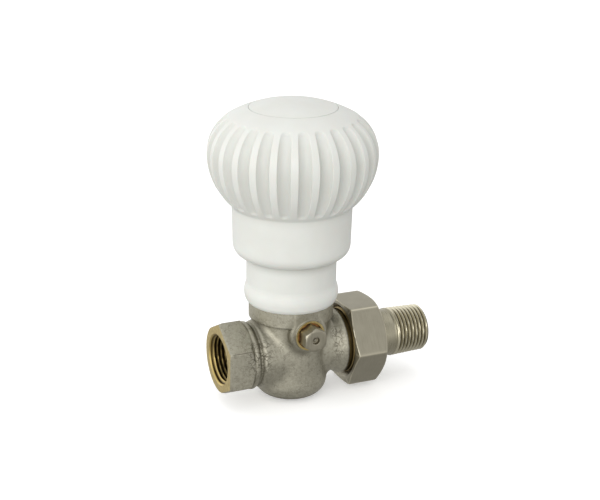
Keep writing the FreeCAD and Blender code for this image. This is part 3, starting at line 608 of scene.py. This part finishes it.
def wheelOutline(size):
    # up the skirt and over the globe to the cap's seat, then inside by the screw hole, square and hub
    globe, shoulder, crown, under, wall, skirtWall = pick(size, "globe shoulder crown under wall skirtWall")
    skirtTop, skirtLow, skirtFoot, opening = pick(size, "skirtTop skirtLow skirtFoot opening")
    hole, screw, square, hub = pick(size, "capHole screwHole squareCorner hub")
    lowZ, topZ = wheelLow[2], wheelHigh[2]
    footZ = lowZ + size["footHeight"]
    seatZ = capLow[2] + size["capPlug"]
    plateZ, washerZ = seatZ - size["plate"], seatZ - size["seatDrop"]
    hubLow, webLow = plateZ - size["hubHeight"], plateZ - size["webHeight"]
    # three arcs, tangent where they meet
    out = globe - shoulder
    crownZ = topZ - sqrt(crown ** 2 - hole ** 2)
    rise = sqrt((crown - shoulder) ** 2 - out ** 2)
    middleZ, joinAngle = crownZ + rise, atan2(rise, out)
    seamAngle = acos(hole / crown)
    underX = globe - under
    turn = acos((skirtTop - underX) / under)
    junctionZ = middleZ - under * sin(turn)
    crowdZ = junctionZ - size["skirtCrowd"]
    # the same arcs, a wall further in
    innerShoulder, innerUnder = shoulder - wall, under - wall
    innerTop = asin(min(1, (plateZ - middleZ) / innerShoulder))
    innerSkirt, innerFoot = skirtTop - skirtWall, skirtLow - skirtWall
    innerTurn = acos((innerSkirt - underX) / innerUnder)
    footMiddle = ((skirtFoot + skirtLow) / 2 + size["footOut"], (lowZ + footZ) / 2 - size["footDown"])
    topMark, footMark = radians(size["fluteTop"]), radians(size["fluteFoot"])
    footMarks = [footMark + crowd for crowd in size["footCrowd"]]
    topMarks = [topMark + crowd for crowd in size["topCrowd"]]
    underSteps = steps((turn, *footMarks, 0), (4, 10, 18))
    shoulderSteps = steps((0, *topMarks, joinAngle), (16, 11, 4))
    crownSteps = steps((joinAngle, seamAngle - size["seamCrowd"], seamAngle), (9, 4))
    rows = [
        straight((opening, lowZ), (skirtFoot, lowZ), 4),
        bowed((skirtFoot, lowZ), footMiddle, (skirtLow, footZ), 10),
        *lines([(skirtLow, footZ), (skirtTop, crowdZ), (skirtTop, junctionZ)], (4, 4)),
        arcThrough((underX, middleZ), under, -underSteps),
        arcThrough((out, middleZ), shoulder, shoulderSteps),
        arcThrough((0, crownZ), crown, crownSteps),
        *lines([(hole, topZ), (hole, topZ - size["seamDepth"]), (hole, seatZ), (screw, seatZ),
                (screw, washerZ), (square, washerZ), (square, hubLow), (hub, hubLow),
                (hub, webLow - size["webGap"]), (hub, plateZ), (out + innerShoulder * cos(innerTop), plateZ)],
               (4, 4, 3, 2, 2, 3, 2, 2, 2, 6)),
        arcThrough((out, middleZ), innerShoulder, steps((innerTop, 0), (6,))),
        arcThrough((underX, middleZ), innerUnder, steps((0, -innerTurn), (8,))),
        *lines([(innerSkirt, middleZ - innerUnder * sin(innerTurn)), (innerFoot, footZ),
                (opening, lowZ + skirtWall), (opening, lowZ)], (3, 3, 4))]
    ends = dict(zip(wheelStretches, np.cumsum([len(stretch) for stretch in rows])))
    outline = joined(rows)
    outer = slice(0, ends["capWall"])
    outline[outer] = softened(outline[outer], 2)
    return outline, ends, webLow


def fluteCut(outline, ends, offMiddle, size):
    # a round bar sunk in the globe, deepest at the widest ring, with a round end at top and foot
    lengths = np.linalg.norm(np.diff(outline, axis=0), axis=1)
    along = joined([[0], np.cumsum(lengths)])[:, None]
    along = along - along[ends["under"]]
    topEnd = size["shoulder"] * radians(size["fluteTop"])
    footEnd = size["under"] * radians(size["fluteFoot"])
    fromMiddle = np.clip(np.where(along > 0, along / topEnd, -along / footEnd), 0, 1)
    depth = size["fluteDepth"] - (size["fluteDepth"] - size["fluteEndDepth"]) * fromMiddle ** 2
    past = np.maximum(0, np.maximum(along - topEnd, -along - footEnd))
    reach2 = (offMiddle * outline[:, :1]) ** 2 + past ** 2
    bar = np.sqrt(np.maximum(size["fluteRadius"] ** 2 - reach2, 0))
    onGlobe = np.zeros((len(outline), 1))
    onGlobe[ends["skirt"]:ends["crown"]] = 1
    return softPositive(bar - size["fluteRadius"] + depth, size["ribSoftness"]) * onGlobe


def handwheelMesh(size):
    outline, ends, webLow = wheelOutline(size)
    # columns crowd at the two edges of each flute
    pitch = fullTurn / size["flutes"]
    half = np.array(size["fluteColumns"]) / size["globe"]
    columns = joined([-half[:0:-1], half, [pitch / 2]])
    angle = np.arange(size["flutes"])[:, None] * pitch + columns[None, :] + radians(size["fluteTurn"])
    angle = angle.reshape(1, -1)
    cut = fluteCut(outline, ends, np.tile(columns, size["flutes"])[None, :], size)
    slope = np.gradient(outline, axis=0)
    slope = slope / np.linalg.norm(slope, axis=1, keepdims=True)
    radius, height = outline[:, :1] - cut * slope[:, 1:], outline[:, 1:] + cut * slope[:, :1]
    # square hole in the hub
    bore = slice(ends["washer"], ends["square"] + 1)
    side = size["square"] / 2 / np.maximum(np.abs(np.cos(angle)), np.abs(np.sin(angle)))
    radius[bore] = np.minimum(side, size["squareCorner"])
    # webs under the plate: the underside drops where the angle is near a web
    inner = slice(ends["hubSide"] + 1, ends["innerUnder"])
    webPitch = fullTurn / size["webs"]
    offWeb = np.abs(np.mod(angle, webPitch) - webPitch / 2) * radius[inner]
    soft = size["webSoftness"]
    share = np.clip((size["webThickness"] / 2 + soft - offWeb) / (2 * soft), 0, 1)
    dropped = height[inner] * (1 - share) + webLow * share
    height[inner] = np.where(height[inner] > webLow, dropped, height[inner])
    return ringMesh(aboutStem(radius, height, angle), size)


flutedWheel = handwheelMesh(handwheelSize)
addPiece("fluted_wheel", flutedWheel, "handwheel", "white_plastic", [wheelFinish], "handwheel")


# Cap in the crown of the wheel
capSize = dict(
    crown=44.0, plug=4.85, plugWall=0.9, plugLength=1.2, edgeGrowth=0.12, rimCrowd=0.008,
    columns=144, sharp=50)


def capMesh(size):
    # a thin slice of the crown's sphere with a short plug under it; the rim is rounded
    crown, plug = pick(size, "crown plug")
    seatZ = capLow[2] + size["plugLength"]
    edge = (capHigh[0] - capLow[0]) / 2 + size["edgeGrowth"]
    inside = plug - size["plugWall"]
    sphereZ = capHigh[2] - crown
    rim = acos(edge / crown)
    counts = (3, 3, 2, 3, 14, 12)
    under = lines([
        (0, seatZ), (inside, seatZ), (inside, capLow[2]), (plug, capLow[2]), (plug, seatZ),
        (edge, seatZ), (edge, sphereZ + crown * sin(rim))], counts)
    domeSteps = steps((rim, rim + size["rimCrowd"], pi / 2), (4, 30))
    dome = arcThrough((0, sphereZ), crown, domeSteps)
    outline = joined(under + [dome, [(0, capHigh[2])]])
    rounded = slice(sum(counts) - 3, None)
    outline[rounded] = softened(outline[rounded], 2)
    return cappedMesh(roundOutline(outline, size), size)


addPiece("wheel_cap", capMesh(capSize), "handwheel", "white_plastic", [wheelFinish], "handwheel_cap")


# Collar sleeve with a stepped foot
collarSize = dict(
    neck=14.15, lip=14.75, lipBevel=0.3, band=15.25, bulge=15.65, tube=14.9, wall=1.4,
    bandHeight=1.1, bulgeHeight=3.0, tubeHeight=6.4, rimHeight=6.1, shelf=1.2,
    shelfHole=10.2, ease=0.15, columns=160, sharp=40)


def collarMesh(size):
    # outline of the sleeve, turned about the stem
    neck, lip, bevel, band, bulge, tube, hole = pick(size, "neck lip lipBevel band bulge tube shelfHole")
    low, top = collarLow[2], collarHigh[2]
    heights = pick(size, "bandHeight bulgeHeight tubeHeight rimHeight")
    bandZ, bulgeZ, tubeZ, rimZ = (low + height for height in heights)
    shelfZ = rimZ + size["shelf"]
    inside, eased = tube - size["wall"], bulge - size["ease"]
    outline = joined([
        *lines([(neck, low), (lip - bevel, low), (lip, low + bevel), (band, bandZ)], (3, 3, 6)),
        bowed((band, bandZ), (eased, (bandZ + bulgeZ) / 2), (bulge, bulgeZ), 8),
        bowed((bulge, bulgeZ), (eased, (bulgeZ + tubeZ) / 2), (tube, tubeZ), 12),
        *lines([(tube, tubeZ), (tube, top), (inside, top), (inside, shelfZ), (hole, shelfZ), (hole, rimZ),
                (neck, rimZ), (neck, low)], (16, 3, 6, 3, 2, 3, 5))])
    return ringMesh(roundOutline(outline, size), size)


stemCollar = collarMesh(collarSize)
addPiece("stem_collar", stemCollar, "valve_body", "white_plastic", [wheelFinish], "collar_sleeve")


# Union nut: a hexagon with worn corners, coned at both ends
nutSize = dict(
    flats=27.7, cornerSoftness=0.55, nearCone=15.0, farCone=30.0, farBevel=2.1,
    edgeSoftness=0.22, nearCrowd=1.2, farCrowd=2.6, thread=11.53, threadDepth=0.55,
    pitch=1.814, runOut=0.8, mouth=1.2, lip=8.63, lipWidth=1.25, lipRound=0.2,
    lipSlack=0.01, wornHighlightWidth=0.5, columns=240, sharp=40)


def nutMesh(size):
    # outside radius is the least of the hexagon and the two cones; the inside is a threaded bore and a lip
    flats, edge, lip, runOut = pick(size, "flats edgeSoftness lip runOut")
    near, far = nutLow[0], nutHigh[0]
    lipX, mouthX = far - size["lipWidth"], near + size["mouth"]
    thread, mouth = size["thread"], size["thread"] + size["mouth"]
    angle = turnAngles(size)
    nearEnd, farStart = near + size["nearCrowd"], far - size["farCrowd"]
    reach = np.append(steps((near, nearEnd, farStart), (12, 8)), np.linspace(farStart, far, 18))[:, None]
    corner = flats / sqrt(3)
    nearCone = flats / 2 + (reach - near) / tan(radians(size["nearCone"]))
    farCone = corner + (far - reach - size["farBevel"]) / tan(radians(size["farCone"]))
    hexagon = hexRadius(angle + halfSide, flats, size["cornerSoftness"])
    outside = softMin(softMin(hexagon, nearCone, edge), farCone, edge)
    # end faces run from the outside to the lip, and from the mouth back to the outside
    inner = lip + size["lipRound"]
    farRadius = inner + (outside[-1:] - inner) * (1 - np.linspace(0, 1, 6, endpoint=False)[1:, None])
    nearRadius = mouth + (outside[:1] - mouth) * np.linspace(0.2, 0.8, 4)[:, None]
    bore = lines([(far, lip), (lipX, lip), (lipX, thread), (mouthX, thread), (near, mouth)], (4, 4, 84, 4))
    bore = joined(bore + [[(near, mouth)]])
    boreX, boreRadius = bore[:, :1], bore[:, 1:]
    fade = np.clip((lipX - runOut - boreX) / runOut, 0, 1) * (boreX < lipX - size["lipSlack"])
    cut = threadShare(boreX, angle, size["pitch"]) * size["threadDepth"] * fade
    boreRadius = boreRadius + cut * (boreRadius <= thread)
    radius = joined([outside, farRadius, boreRadius, nearRadius])
    ends = [np.full((len(face), 1), x) for face, x in ((farRadius, far), (nearRadius, near))]
    place = joined([reach, ends[0], boreX, ends[1]])
    mesh = ringMesh(aboutPipe(radius, place, angle), size)
    # share of the painted highlight along the worn corner and chamfer edges, stored on the mesh
    wornHighlight = np.zeros(radius.shape)
    wornHighlight[:len(reach)] = wornHighlightShare(angle, hexagon, (nearCone, farCone), size["wornHighlightWidth"])
    values = mesh.attributes.new("wornHighlight", "FLOAT", "POINT")
    values.data.foreach_set("value", wornHighlight.astype(np.float32).ravel())
    return mesh


addPiece("coupling_nut", nutMesh(nutSize), "union_nut", "turned_nickel", [unionFinish], "union_nut")


# Tail: flange, plain barrel, taper thread and a bore with flats for the fitting key
tailSize = dict(
    flange=10.9, flangeWidth=1.6, barrel=8.1, thread=8.33, threadLength=12.8, pitch=1.337,
    threadDepth=0.80, threadRows=110, taper=16.0, runUp=0.3, runIn=1.4, chamfer=0.7,
    chamferSlope=1.2, chamferSoftness=0.1, bore=5.9, keyFlats=10.6, keyReach=9.0,
    keySoftness=0.05, columns=160, sharp=35)
# crest is a painted highlight colour and root a painted shade colour for the thread
tailLook = dict(
    turnedLook, dark=(0.30, 0.278, 0.205, 1), light=(0.42, 0.392, 0.297, 1), root=(0.10, 0.082, 0.050, 1),
    crest=(0.57, 0.533, 0.41, 1), crestShare=0.45, threadFrom=0.4, rough=(0.24, 0.40))
tailFinish = turnedNickel("threaded_nickel_finish", tailLook, tailSize)


def tailMesh(size):
    # outline turned about the pipe; a helical V is cut in the last stretch, which tapers
    flange, barrel, bore, thread, length = pick(size, "flange barrel bore thread threadLength")
    start, end = tailLow[0], tailHigh[0]
    flangeEnd, threadStart = start + size["flangeWidth"], end - length
    keyEnd = end - size["keyReach"]
    endRadius = thread - length / (2 * size["taper"])
    endFace = endRadius - size["chamfer"]
    outside = joined(lines([
        (start, bore), (start, flange), (flangeEnd, flange), (flangeEnd, barrel),
        (threadStart - size["runUp"], barrel), (threadStart, thread)], (4, 4, 4, 12, 3)))
    threaded = straight((threadStart, thread), (end, endRadius), size["threadRows"])
    insideCounts = (4, 6, 8, 3)
    inside = joined(lines([
        (end, endFace), (end, bore), (keyEnd, bore), (flangeEnd, bore), (start, bore)], insideCounts))
    outline = joined([outside, threaded, inside])
    place = outline[:, :1]
    radius = np.repeat(outline[:, 1:], size["columns"], axis=1)
    angle = turnAngles(size)
    cut = slice(len(outside), len(outside) + len(threaded))
    runIn = np.clip((place[cut] - threadStart) / size["runIn"], 0, 1)
    radius[cut] -= threadShare(place[cut], angle, size["pitch"]) * size["threadDepth"] * runIn
    cone = endFace + (end - place[cut]) * size["chamferSlope"]
    radius[cut] = softMin(radius[cut], cone, size["chamferSoftness"])
    keyed = slice(cut.stop + sum(insideCounts[:2]) + 1, len(outline) - insideCounts[-1])
    radius[keyed] = np.minimum(radius[keyed], hexRadius(angle, size["keyFlats"], size["keySoftness"]))
    return ringMesh(aboutPipe(radius, place, angle), size)


addPiece("threaded_tail", tailMesh(tailSize), "tailpiece", "turned_nickel", [tailFinish], "tailpiece")


# Body: the forging's own surface, welded so that it shades smoothly, with bare brass where it was machined.
# Sizes that end in Within are radii a hair over those of the machined walls.
bodySize = dict(
    weld=0.002, mouthWithin=8.75, ringWithin=5.13, sinkWithin=4.46, ringFront=-14.5,
    sinkBack=-8.0, boreEnd=24.0, rimReach=16.9, faceSlack=0.05, wallSlack=0.02, sharp=28.0)
spigotSize = dict(
    wall=11.45, core=10.85, inside=10.4, threadDepth=0.58, pitch=1.814, chamfer=0.8,
    runInSlope=1.2, softness=0.05, rows=120, backRows=6, columns=160, sharp=35)


def weldedBody(size):
    # corners of the loose triangles that share a place become one
    source = cadNodes["valve_body"].data
    points = np.zeros(len(source.vertices) * 3, np.float32)
    source.vertices.foreach_get("co", points)
    points = points.reshape(-1, 3).astype(float) / mm
    source.calc_loop_triangles()
    triangles = np.zeros(len(source.loop_triangles) * 3, np.int32)
    source.loop_triangles.foreach_get("vertices", triangles)
    keys = np.round(points / size["weld"]).astype(np.int64)
    _, first, merged = np.unique(keys, axis=0, return_index=True, return_inverse=True)
    triangles = merged.reshape(-1)[triangles].reshape(-1, 3)
    whole = (triangles[:, 0] != triangles[:, 1]) & (triangles[:, 1] != triangles[:, 2])
    whole &= triangles[:, 2] != triangles[:, 0]
    return points[first], triangles[whole]


forgedPoints, forgedTriangles = weldedBody(bodySize)


def onSpigot(size):
    # points of the plain wall where the union thread is cut
    fromPipe = np.hypot(forgedPoints[:, 1], forgedPoints[:, 2])
    onWall = np.abs(fromPipe - spigotSize["wall"]) < size["wallSlack"]
    return (forgedPoints[:, 0] > stemX + size["rimReach"]) & onWall


def bodyMesh(size):
    # the forging with its spigot wall drawn in to the root of the thread
    points = forgedPoints.copy()
    points[onSpigot(size), 1:] *= spigotSize["core"] / spigotSize["wall"]
    mesh = meshOf(points, noQuads, forgedTriangles, size)
    x, y, z = points[forgedTriangles].mean(axis=1).T
    fromPipe, fromPort = np.hypot(y, z), np.hypot(x - portX, z - portZ)
    inletFace = x < size["faceSlack"]
    inletBore = (x < size["boreEnd"]) & (fromPipe < size["mouthWithin"])
    portRing = (y < size["ringFront"] + size["faceSlack"]) & (fromPort < size["ringWithin"])
    portSink = (y < size["sinkBack"]) & (fromPort < size["sinkWithin"])
    outlet = x > stemX + size["rimReach"] - size["wallSlack"]
    plated, machined, sunk, bored, rim = range(5)
    finish = np.where(inletFace | portRing, machined, np.where(outlet, rim, plated))
    finish = np.where(inletBore & ~inletFace, bored, np.where(portSink, sunk, finish))
    mesh.polygons.foreach_set("material_index", finish.astype(np.int32))
    return mesh


bodyFinishes = [bodyFinish, brassFinish, sinkFinish, boreFinish, rimFinish]
addPiece("forged_body", bodyMesh(bodySize), "valve_body", "cast_nickel", bodyFinishes, "valve_body")


def spigotMesh(size):
    # a sleeve on the spigot with a helical V cut in it and a cone at each end
    core, wall, chamfer, softness = pick(size, "core wall chamfer softness")
    reach = forgedPoints[onSpigot(bodySize), 0]
    start, end = reach.min(), reach.max() + chamfer
    threaded = np.linspace(start, end, size["rows"])[:, None]
    cut = threadShare(threaded, turnAngles(size), size["pitch"])
    nearCone = core + (threaded - start) * size["runInSlope"]
    farCone = wall - chamfer + (end - threaded)
    outside = softMin(wall - size["threadDepth"] * cut, nearCone, softness)
    outside = softMin(outside, farCone, softness)
    return sleeveMesh(threaded, outside, size["inside"], size)


addPiece("spigot_thread", spigotMesh(spigotSize), "valve_body", "plain_brass", [rimFinish])


# Thread cut in the inlet
inletSize = dict(
    start=0.7, length=10.0, thread=8.31, threadDepth=0.80, pitch=1.337, skin=0.02,
    runIn=0.8, runOut=1.5, rows=110, backRows=6, columns=144, sharp=35)


def inletThreadMesh(size):
    # a thin sleeve on the wall of the inlet whose inside rises into a helical ridge
    start, end = size["start"], size["start"] + size["length"]
    ridged = np.linspace(start, end, size["rows"])[:, None]
    rise = 1 - threadShare(ridged, turnAngles(size), size["pitch"])
    fade = np.clip((ridged - start) / size["runIn"], 0, 1) * np.clip((end - ridged) / size["runOut"], 0, 1)
    inside = size["thread"] - size["skin"] - size["threadDepth"] * rise * fade
    return sleeveMesh(ridged, inside, size["thread"], size)


addPiece("inlet_thread_ridge", inletThreadMesh(inletSize), "valve_body", "plain_brass", [boreFinish])


# Side plug: hexagon head with a turned dimple
plugSize = dict(
    flats=7.4, cornerSoftness=0.12, edgeSoftness=0.1, frontFlat=3.2, coneInset=0.2,
    coneSlope=1.6, frontCrowd=1.2, dimple=1.15, dimpleDepth=1.2, pip=0.5, pipHeight=0.6,
    shank=2.95, sinkDepth=4.2, sealThickness=0.9, columns=120, sharp=35)


def plugMesh(size):
    # from the pip in the dimple out over the front, along the flats, and back down the shank
    flats, pip, dimple, shank = pick(size, "flats pip dimple shank")
    front, back = plugLow[1], plugHigh[1]
    seat = bodyLow[1] + size["sinkDepth"] - size["sealThickness"]
    dimpleY = front + size["dimpleDepth"]
    pipY = dimpleY - size["pipHeight"]
    turned = joined(lines([
        (0, pipY), (pip, pipY), (pip, dimpleY), (dimple, dimpleY), (dimple, front),
        (size["frontFlat"], front)], (4, 4, 3, 5, 6)))
    turned = softened(turned, 1)
    angle = turnAngles(size)
    crowdEnd = front + size["frontCrowd"]
    flank = np.append(steps((front, crowdEnd), (12,)), np.linspace(crowdEnd, seat, 8))[:, None]
    cone = flats / 2 - size["coneInset"] + (flank - front) * size["coneSlope"]
    hexagon = hexRadius(angle + halfSide, flats, size["cornerSoftness"])
    sides = softMin(hexagon, cone, size["edgeSoftness"])
    shaft = lines([(shank, seat), (shank, back), (0, back)], (4, 4))
    shaft = joined(shaft + [[(0, back)]])
    nose, tip = (np.repeat(rows[:, :1], size["columns"], axis=1) for rows in (turned, shaft))
    radius = joined([nose, sides, tip])
    depth = joined([turned[:, 1:], flank, shaft[:, 1:]])
    return cappedMesh(aboutPort(radius, depth, angle), size)


addPiece("port_plug", plugMesh(plugSize), "valve_body", "plug_nickel", [unionFinish], "side_plug")


# Seal pressed out round the plug
sealSize = dict(
    inner=3.0, outer=4.40, behindRing=0.9, depth=1.2, rise=0.25, lump=0.10, lumps=9,
    rows=8, columns=120, sharp=60)


def sealBeadMesh(size):
    # a low ring between plug and port whose front swells and sinks round the ring
    angle = turnAngles(size)
    front = bodySize["ringFront"] + size["behindRing"]
    share = np.linspace(0, 1, size["rows"])[:, None]
    swell = size["lump"] * (np.sin(size["lumps"] * angle) + np.sin(2 * size["lumps"] * angle + 1) / 2)
    face = front - np.sin(pi * share) * (size["rise"] + swell)
    faceRadius = size["inner"] + (size["outer"] - size["inner"]) * share
    radius = joined([faceRadius, faceRadius[::-1]])
    depth = joined([face, np.full(face.shape, front + size["depth"])])
    return ringMesh(aboutPort(radius, depth, angle), size)


addPiece("plug_seal_bead", sealBeadMesh(sealSize), "valve_body", "fibre", [sinkFinish])


# Finishes of the nodes that keep their own shape
nodesOfFinish = (
    (brassFinish, "bonnet gland_screw spindle valve_disc"),
    (rubberFinish, "bonnet_seal_ring spindle_seal_ring_lower spindle_seal_ring_upper disc_seal"),
    (packingFinish, "gland_packing"), (fibreFinish, "union_gasket side_plug_seal"),
    (steelFinish, "swivel_clip disc_screw handwheel_screw handwheel_washer"),
)
nodeFinish = {node: finish for finish, nodes in nodesOfFinish for node in nodes.split()}
for node, finish in nodeFinish.items():
    cadNodes[node].data.materials.clear()
    cadNodes[node].data.materials.append(finish)
print("finishes set on", len(nodeFinish), "inner nodes")


# Studio: pale paper, soft lights and a bright surround; floor and wall sizes are metres, but not floorDrop
studio = dict(
    floorSize=6.0, floorDrop=0.3, floor=(0.90, 0.90, 0.90, 1), floorGlow=0.35, paperRough=0.9,
    wallRadius=2.9, wallHeight=3.0, columns=96, wall=(1.0, 1.0, 1.0, 1), wallGlow=1.0,
    skyTop=(0.82, 0.82, 0.82, 1), skyLeft=(1.86, 1.86, 1.84, 1), skyRight=(0.88, 0.875, 0.86, 1),
    skyFoot=(0.50, 0.495, 0.48, 1), sideRange=(-0.5, 0.6), footRange=(-0.5, 0.1), topRange=(0.1, 0.8),
    skyPower=0.95, aimHeight=0.03)
floorZ = bodyLow[2] - studio["floorDrop"]


def sheetMesh(points, faces):
    mesh = bpy.data.meshes.new("sheet")
    mesh.from_pydata((points * mm).tolist(), [], faces)
    return mesh


def floorMesh(size):
    # a square sheet under the lowest point of the body
    half = size["floorSize"] / 2 / mm
    corners = [(-half, -half, floorZ), (half, -half, floorZ), (half, half, floorZ), (-half, half, floorZ)]
    return sheetMesh(np.array(corners), [(0, 1, 2, 3)])


def wallMesh(size):
    # an upright ring of paper that stands on the floor
    height = np.array([0, size["wallHeight"] / mm])[:, None] + floorZ
    points = aboutStem(size["wallRadius"] / mm, height, turnAngles(size)).reshape(-1, 3)
    return sheetMesh(points, gridFaces(2, size["columns"], False).tolist())


def addSheet(name, mesh, paperName, glowColour, glow):
    # glowing paper that the valve doesn't reflect
    sheet = addObject(name, mesh)
    paper = newMaterial(paperName, {"Base Color": studio["floor"], "Roughness": studio["paperRough"],
                                    "Emission Color": glowColour, "Emission Strength": glow})
    mesh.materials.append(paper[0])
    sheet.visible_diffuse = False
    sheet.visible_glossy = False
    return sheet


floor = addSheet("studio_floor", floorMesh(studio), "studio_paper", studio["floor"], studio["floorGlow"])
wall = addSheet("studio_wall", wallMesh(studio), "studio_wall_paper", studio["wall"], studio["wallGlow"])
wall.visible_shadow = False


def surround(look):
    # brightest on the inlet's side, dimmer on the tail's side and overhead, and dark below
    world = bpy.data.worlds.new("studio_surround")
    world.use_nodes = True
    tree = world.node_tree
    axes = axesOf(addNode(tree, "TexCoord", {}).outputs["Generated"])
    side = blend(spread(axes["X"], *look["sideRange"]), look["skyLeft"], look["skyRight"])
    low = blend(spread(axes["Z"], *look["footRange"]), look["skyFoot"], side)
    colour = blend(spread(axes["Z"], *look["topRange"]), low, look["skyTop"])
    background = tree.nodes["Background"]
    tree.links.new(colour, background.inputs["Color"])
    background.inputs["Strength"].default_value = look["skyPower"]
    bpy.context.scene.world = world


surround(studio)

# Soft lights: places and sizes in metres, power in watts
softboxes = {
    "overhead": dict(place=(0.02, 0.05, 0.90), width=1.0, height=1.0, power=1.2, colour=(1, 1, 1)),
    "frontLeft": dict(place=(-0.55, -0.70, 0.35), width=0.7, height=0.7, power=2.4, colour=(1, 0.99, 0.97)),
}


def addSoftbox(name, box):
    # a rectangular light that faces the middle of the valve
    light = bpy.data.lights.new(name, "AREA")
    light.shape = "RECTANGLE"
    light.size, light.size_y = box["width"], box["height"]
    light.energy, light.color = box["power"], box["colour"]
    lamp = addObject(name, light)
    place, target = Vector(box["place"]), Vector((stemX * mm, 0, studio["aimHeight"]))
    turn = (target - place).to_track_quat("-Z", "Y").to_matrix().to_4x4()
    lamp.matrix_world = Matrix.Translation(place) @ turn


for name, box in softboxes.items():
    addSoftbox(name, box)
bpy.context.scene.view_settings.view_transform = "Standard"
print("studio set")


# Camera at the photograph's viewing angle; the clip distances are metres
cameraView = dict(
    turn=24.3, tilt=19.9, roll=0.85, distance=472.3, right=-3.27, up=-32.9,
    lens=84.0, sensor=36.0, clipNear=0.01, clipFar=20.0)


def addCamera(view):
    turn, tilt, roll = (radians(view[key]) for key in ("turn", "tilt", "roll"))
    ahead = Vector((sin(turn) * cos(tilt), cos(turn) * cos(tilt), -sin(tilt)))
    level = Vector((cos(turn), -sin(turn), 0))
    upright = level.cross(ahead)
    right = level * cos(roll) + upright * sin(roll)
    up = upright * cos(roll) - level * sin(roll)
    place = Vector((stemX, 0, 0)) - right * view["right"] - up * view["up"] - ahead * view["distance"]
    lens = bpy.data.cameras.new("camera")
    lens.lens, lens.sensor_width, lens.sensor_fit = view["lens"], view["sensor"], "HORIZONTAL"
    lens.clip_start, lens.clip_end = view["clipNear"], view["clipFar"]
    camera = addObject("camera", lens)
    columns = (right, up, -ahead)
    basis = Matrix([[axis[k] for axis in columns] for k in range(3)]).to_4x4()
    camera.matrix_world = Matrix.Translation(place * mm) @ basis
    bpy.context.scene.camera = camera


addCamera(cameraView)
print("camera set")

bpy.context.view_layer.update()
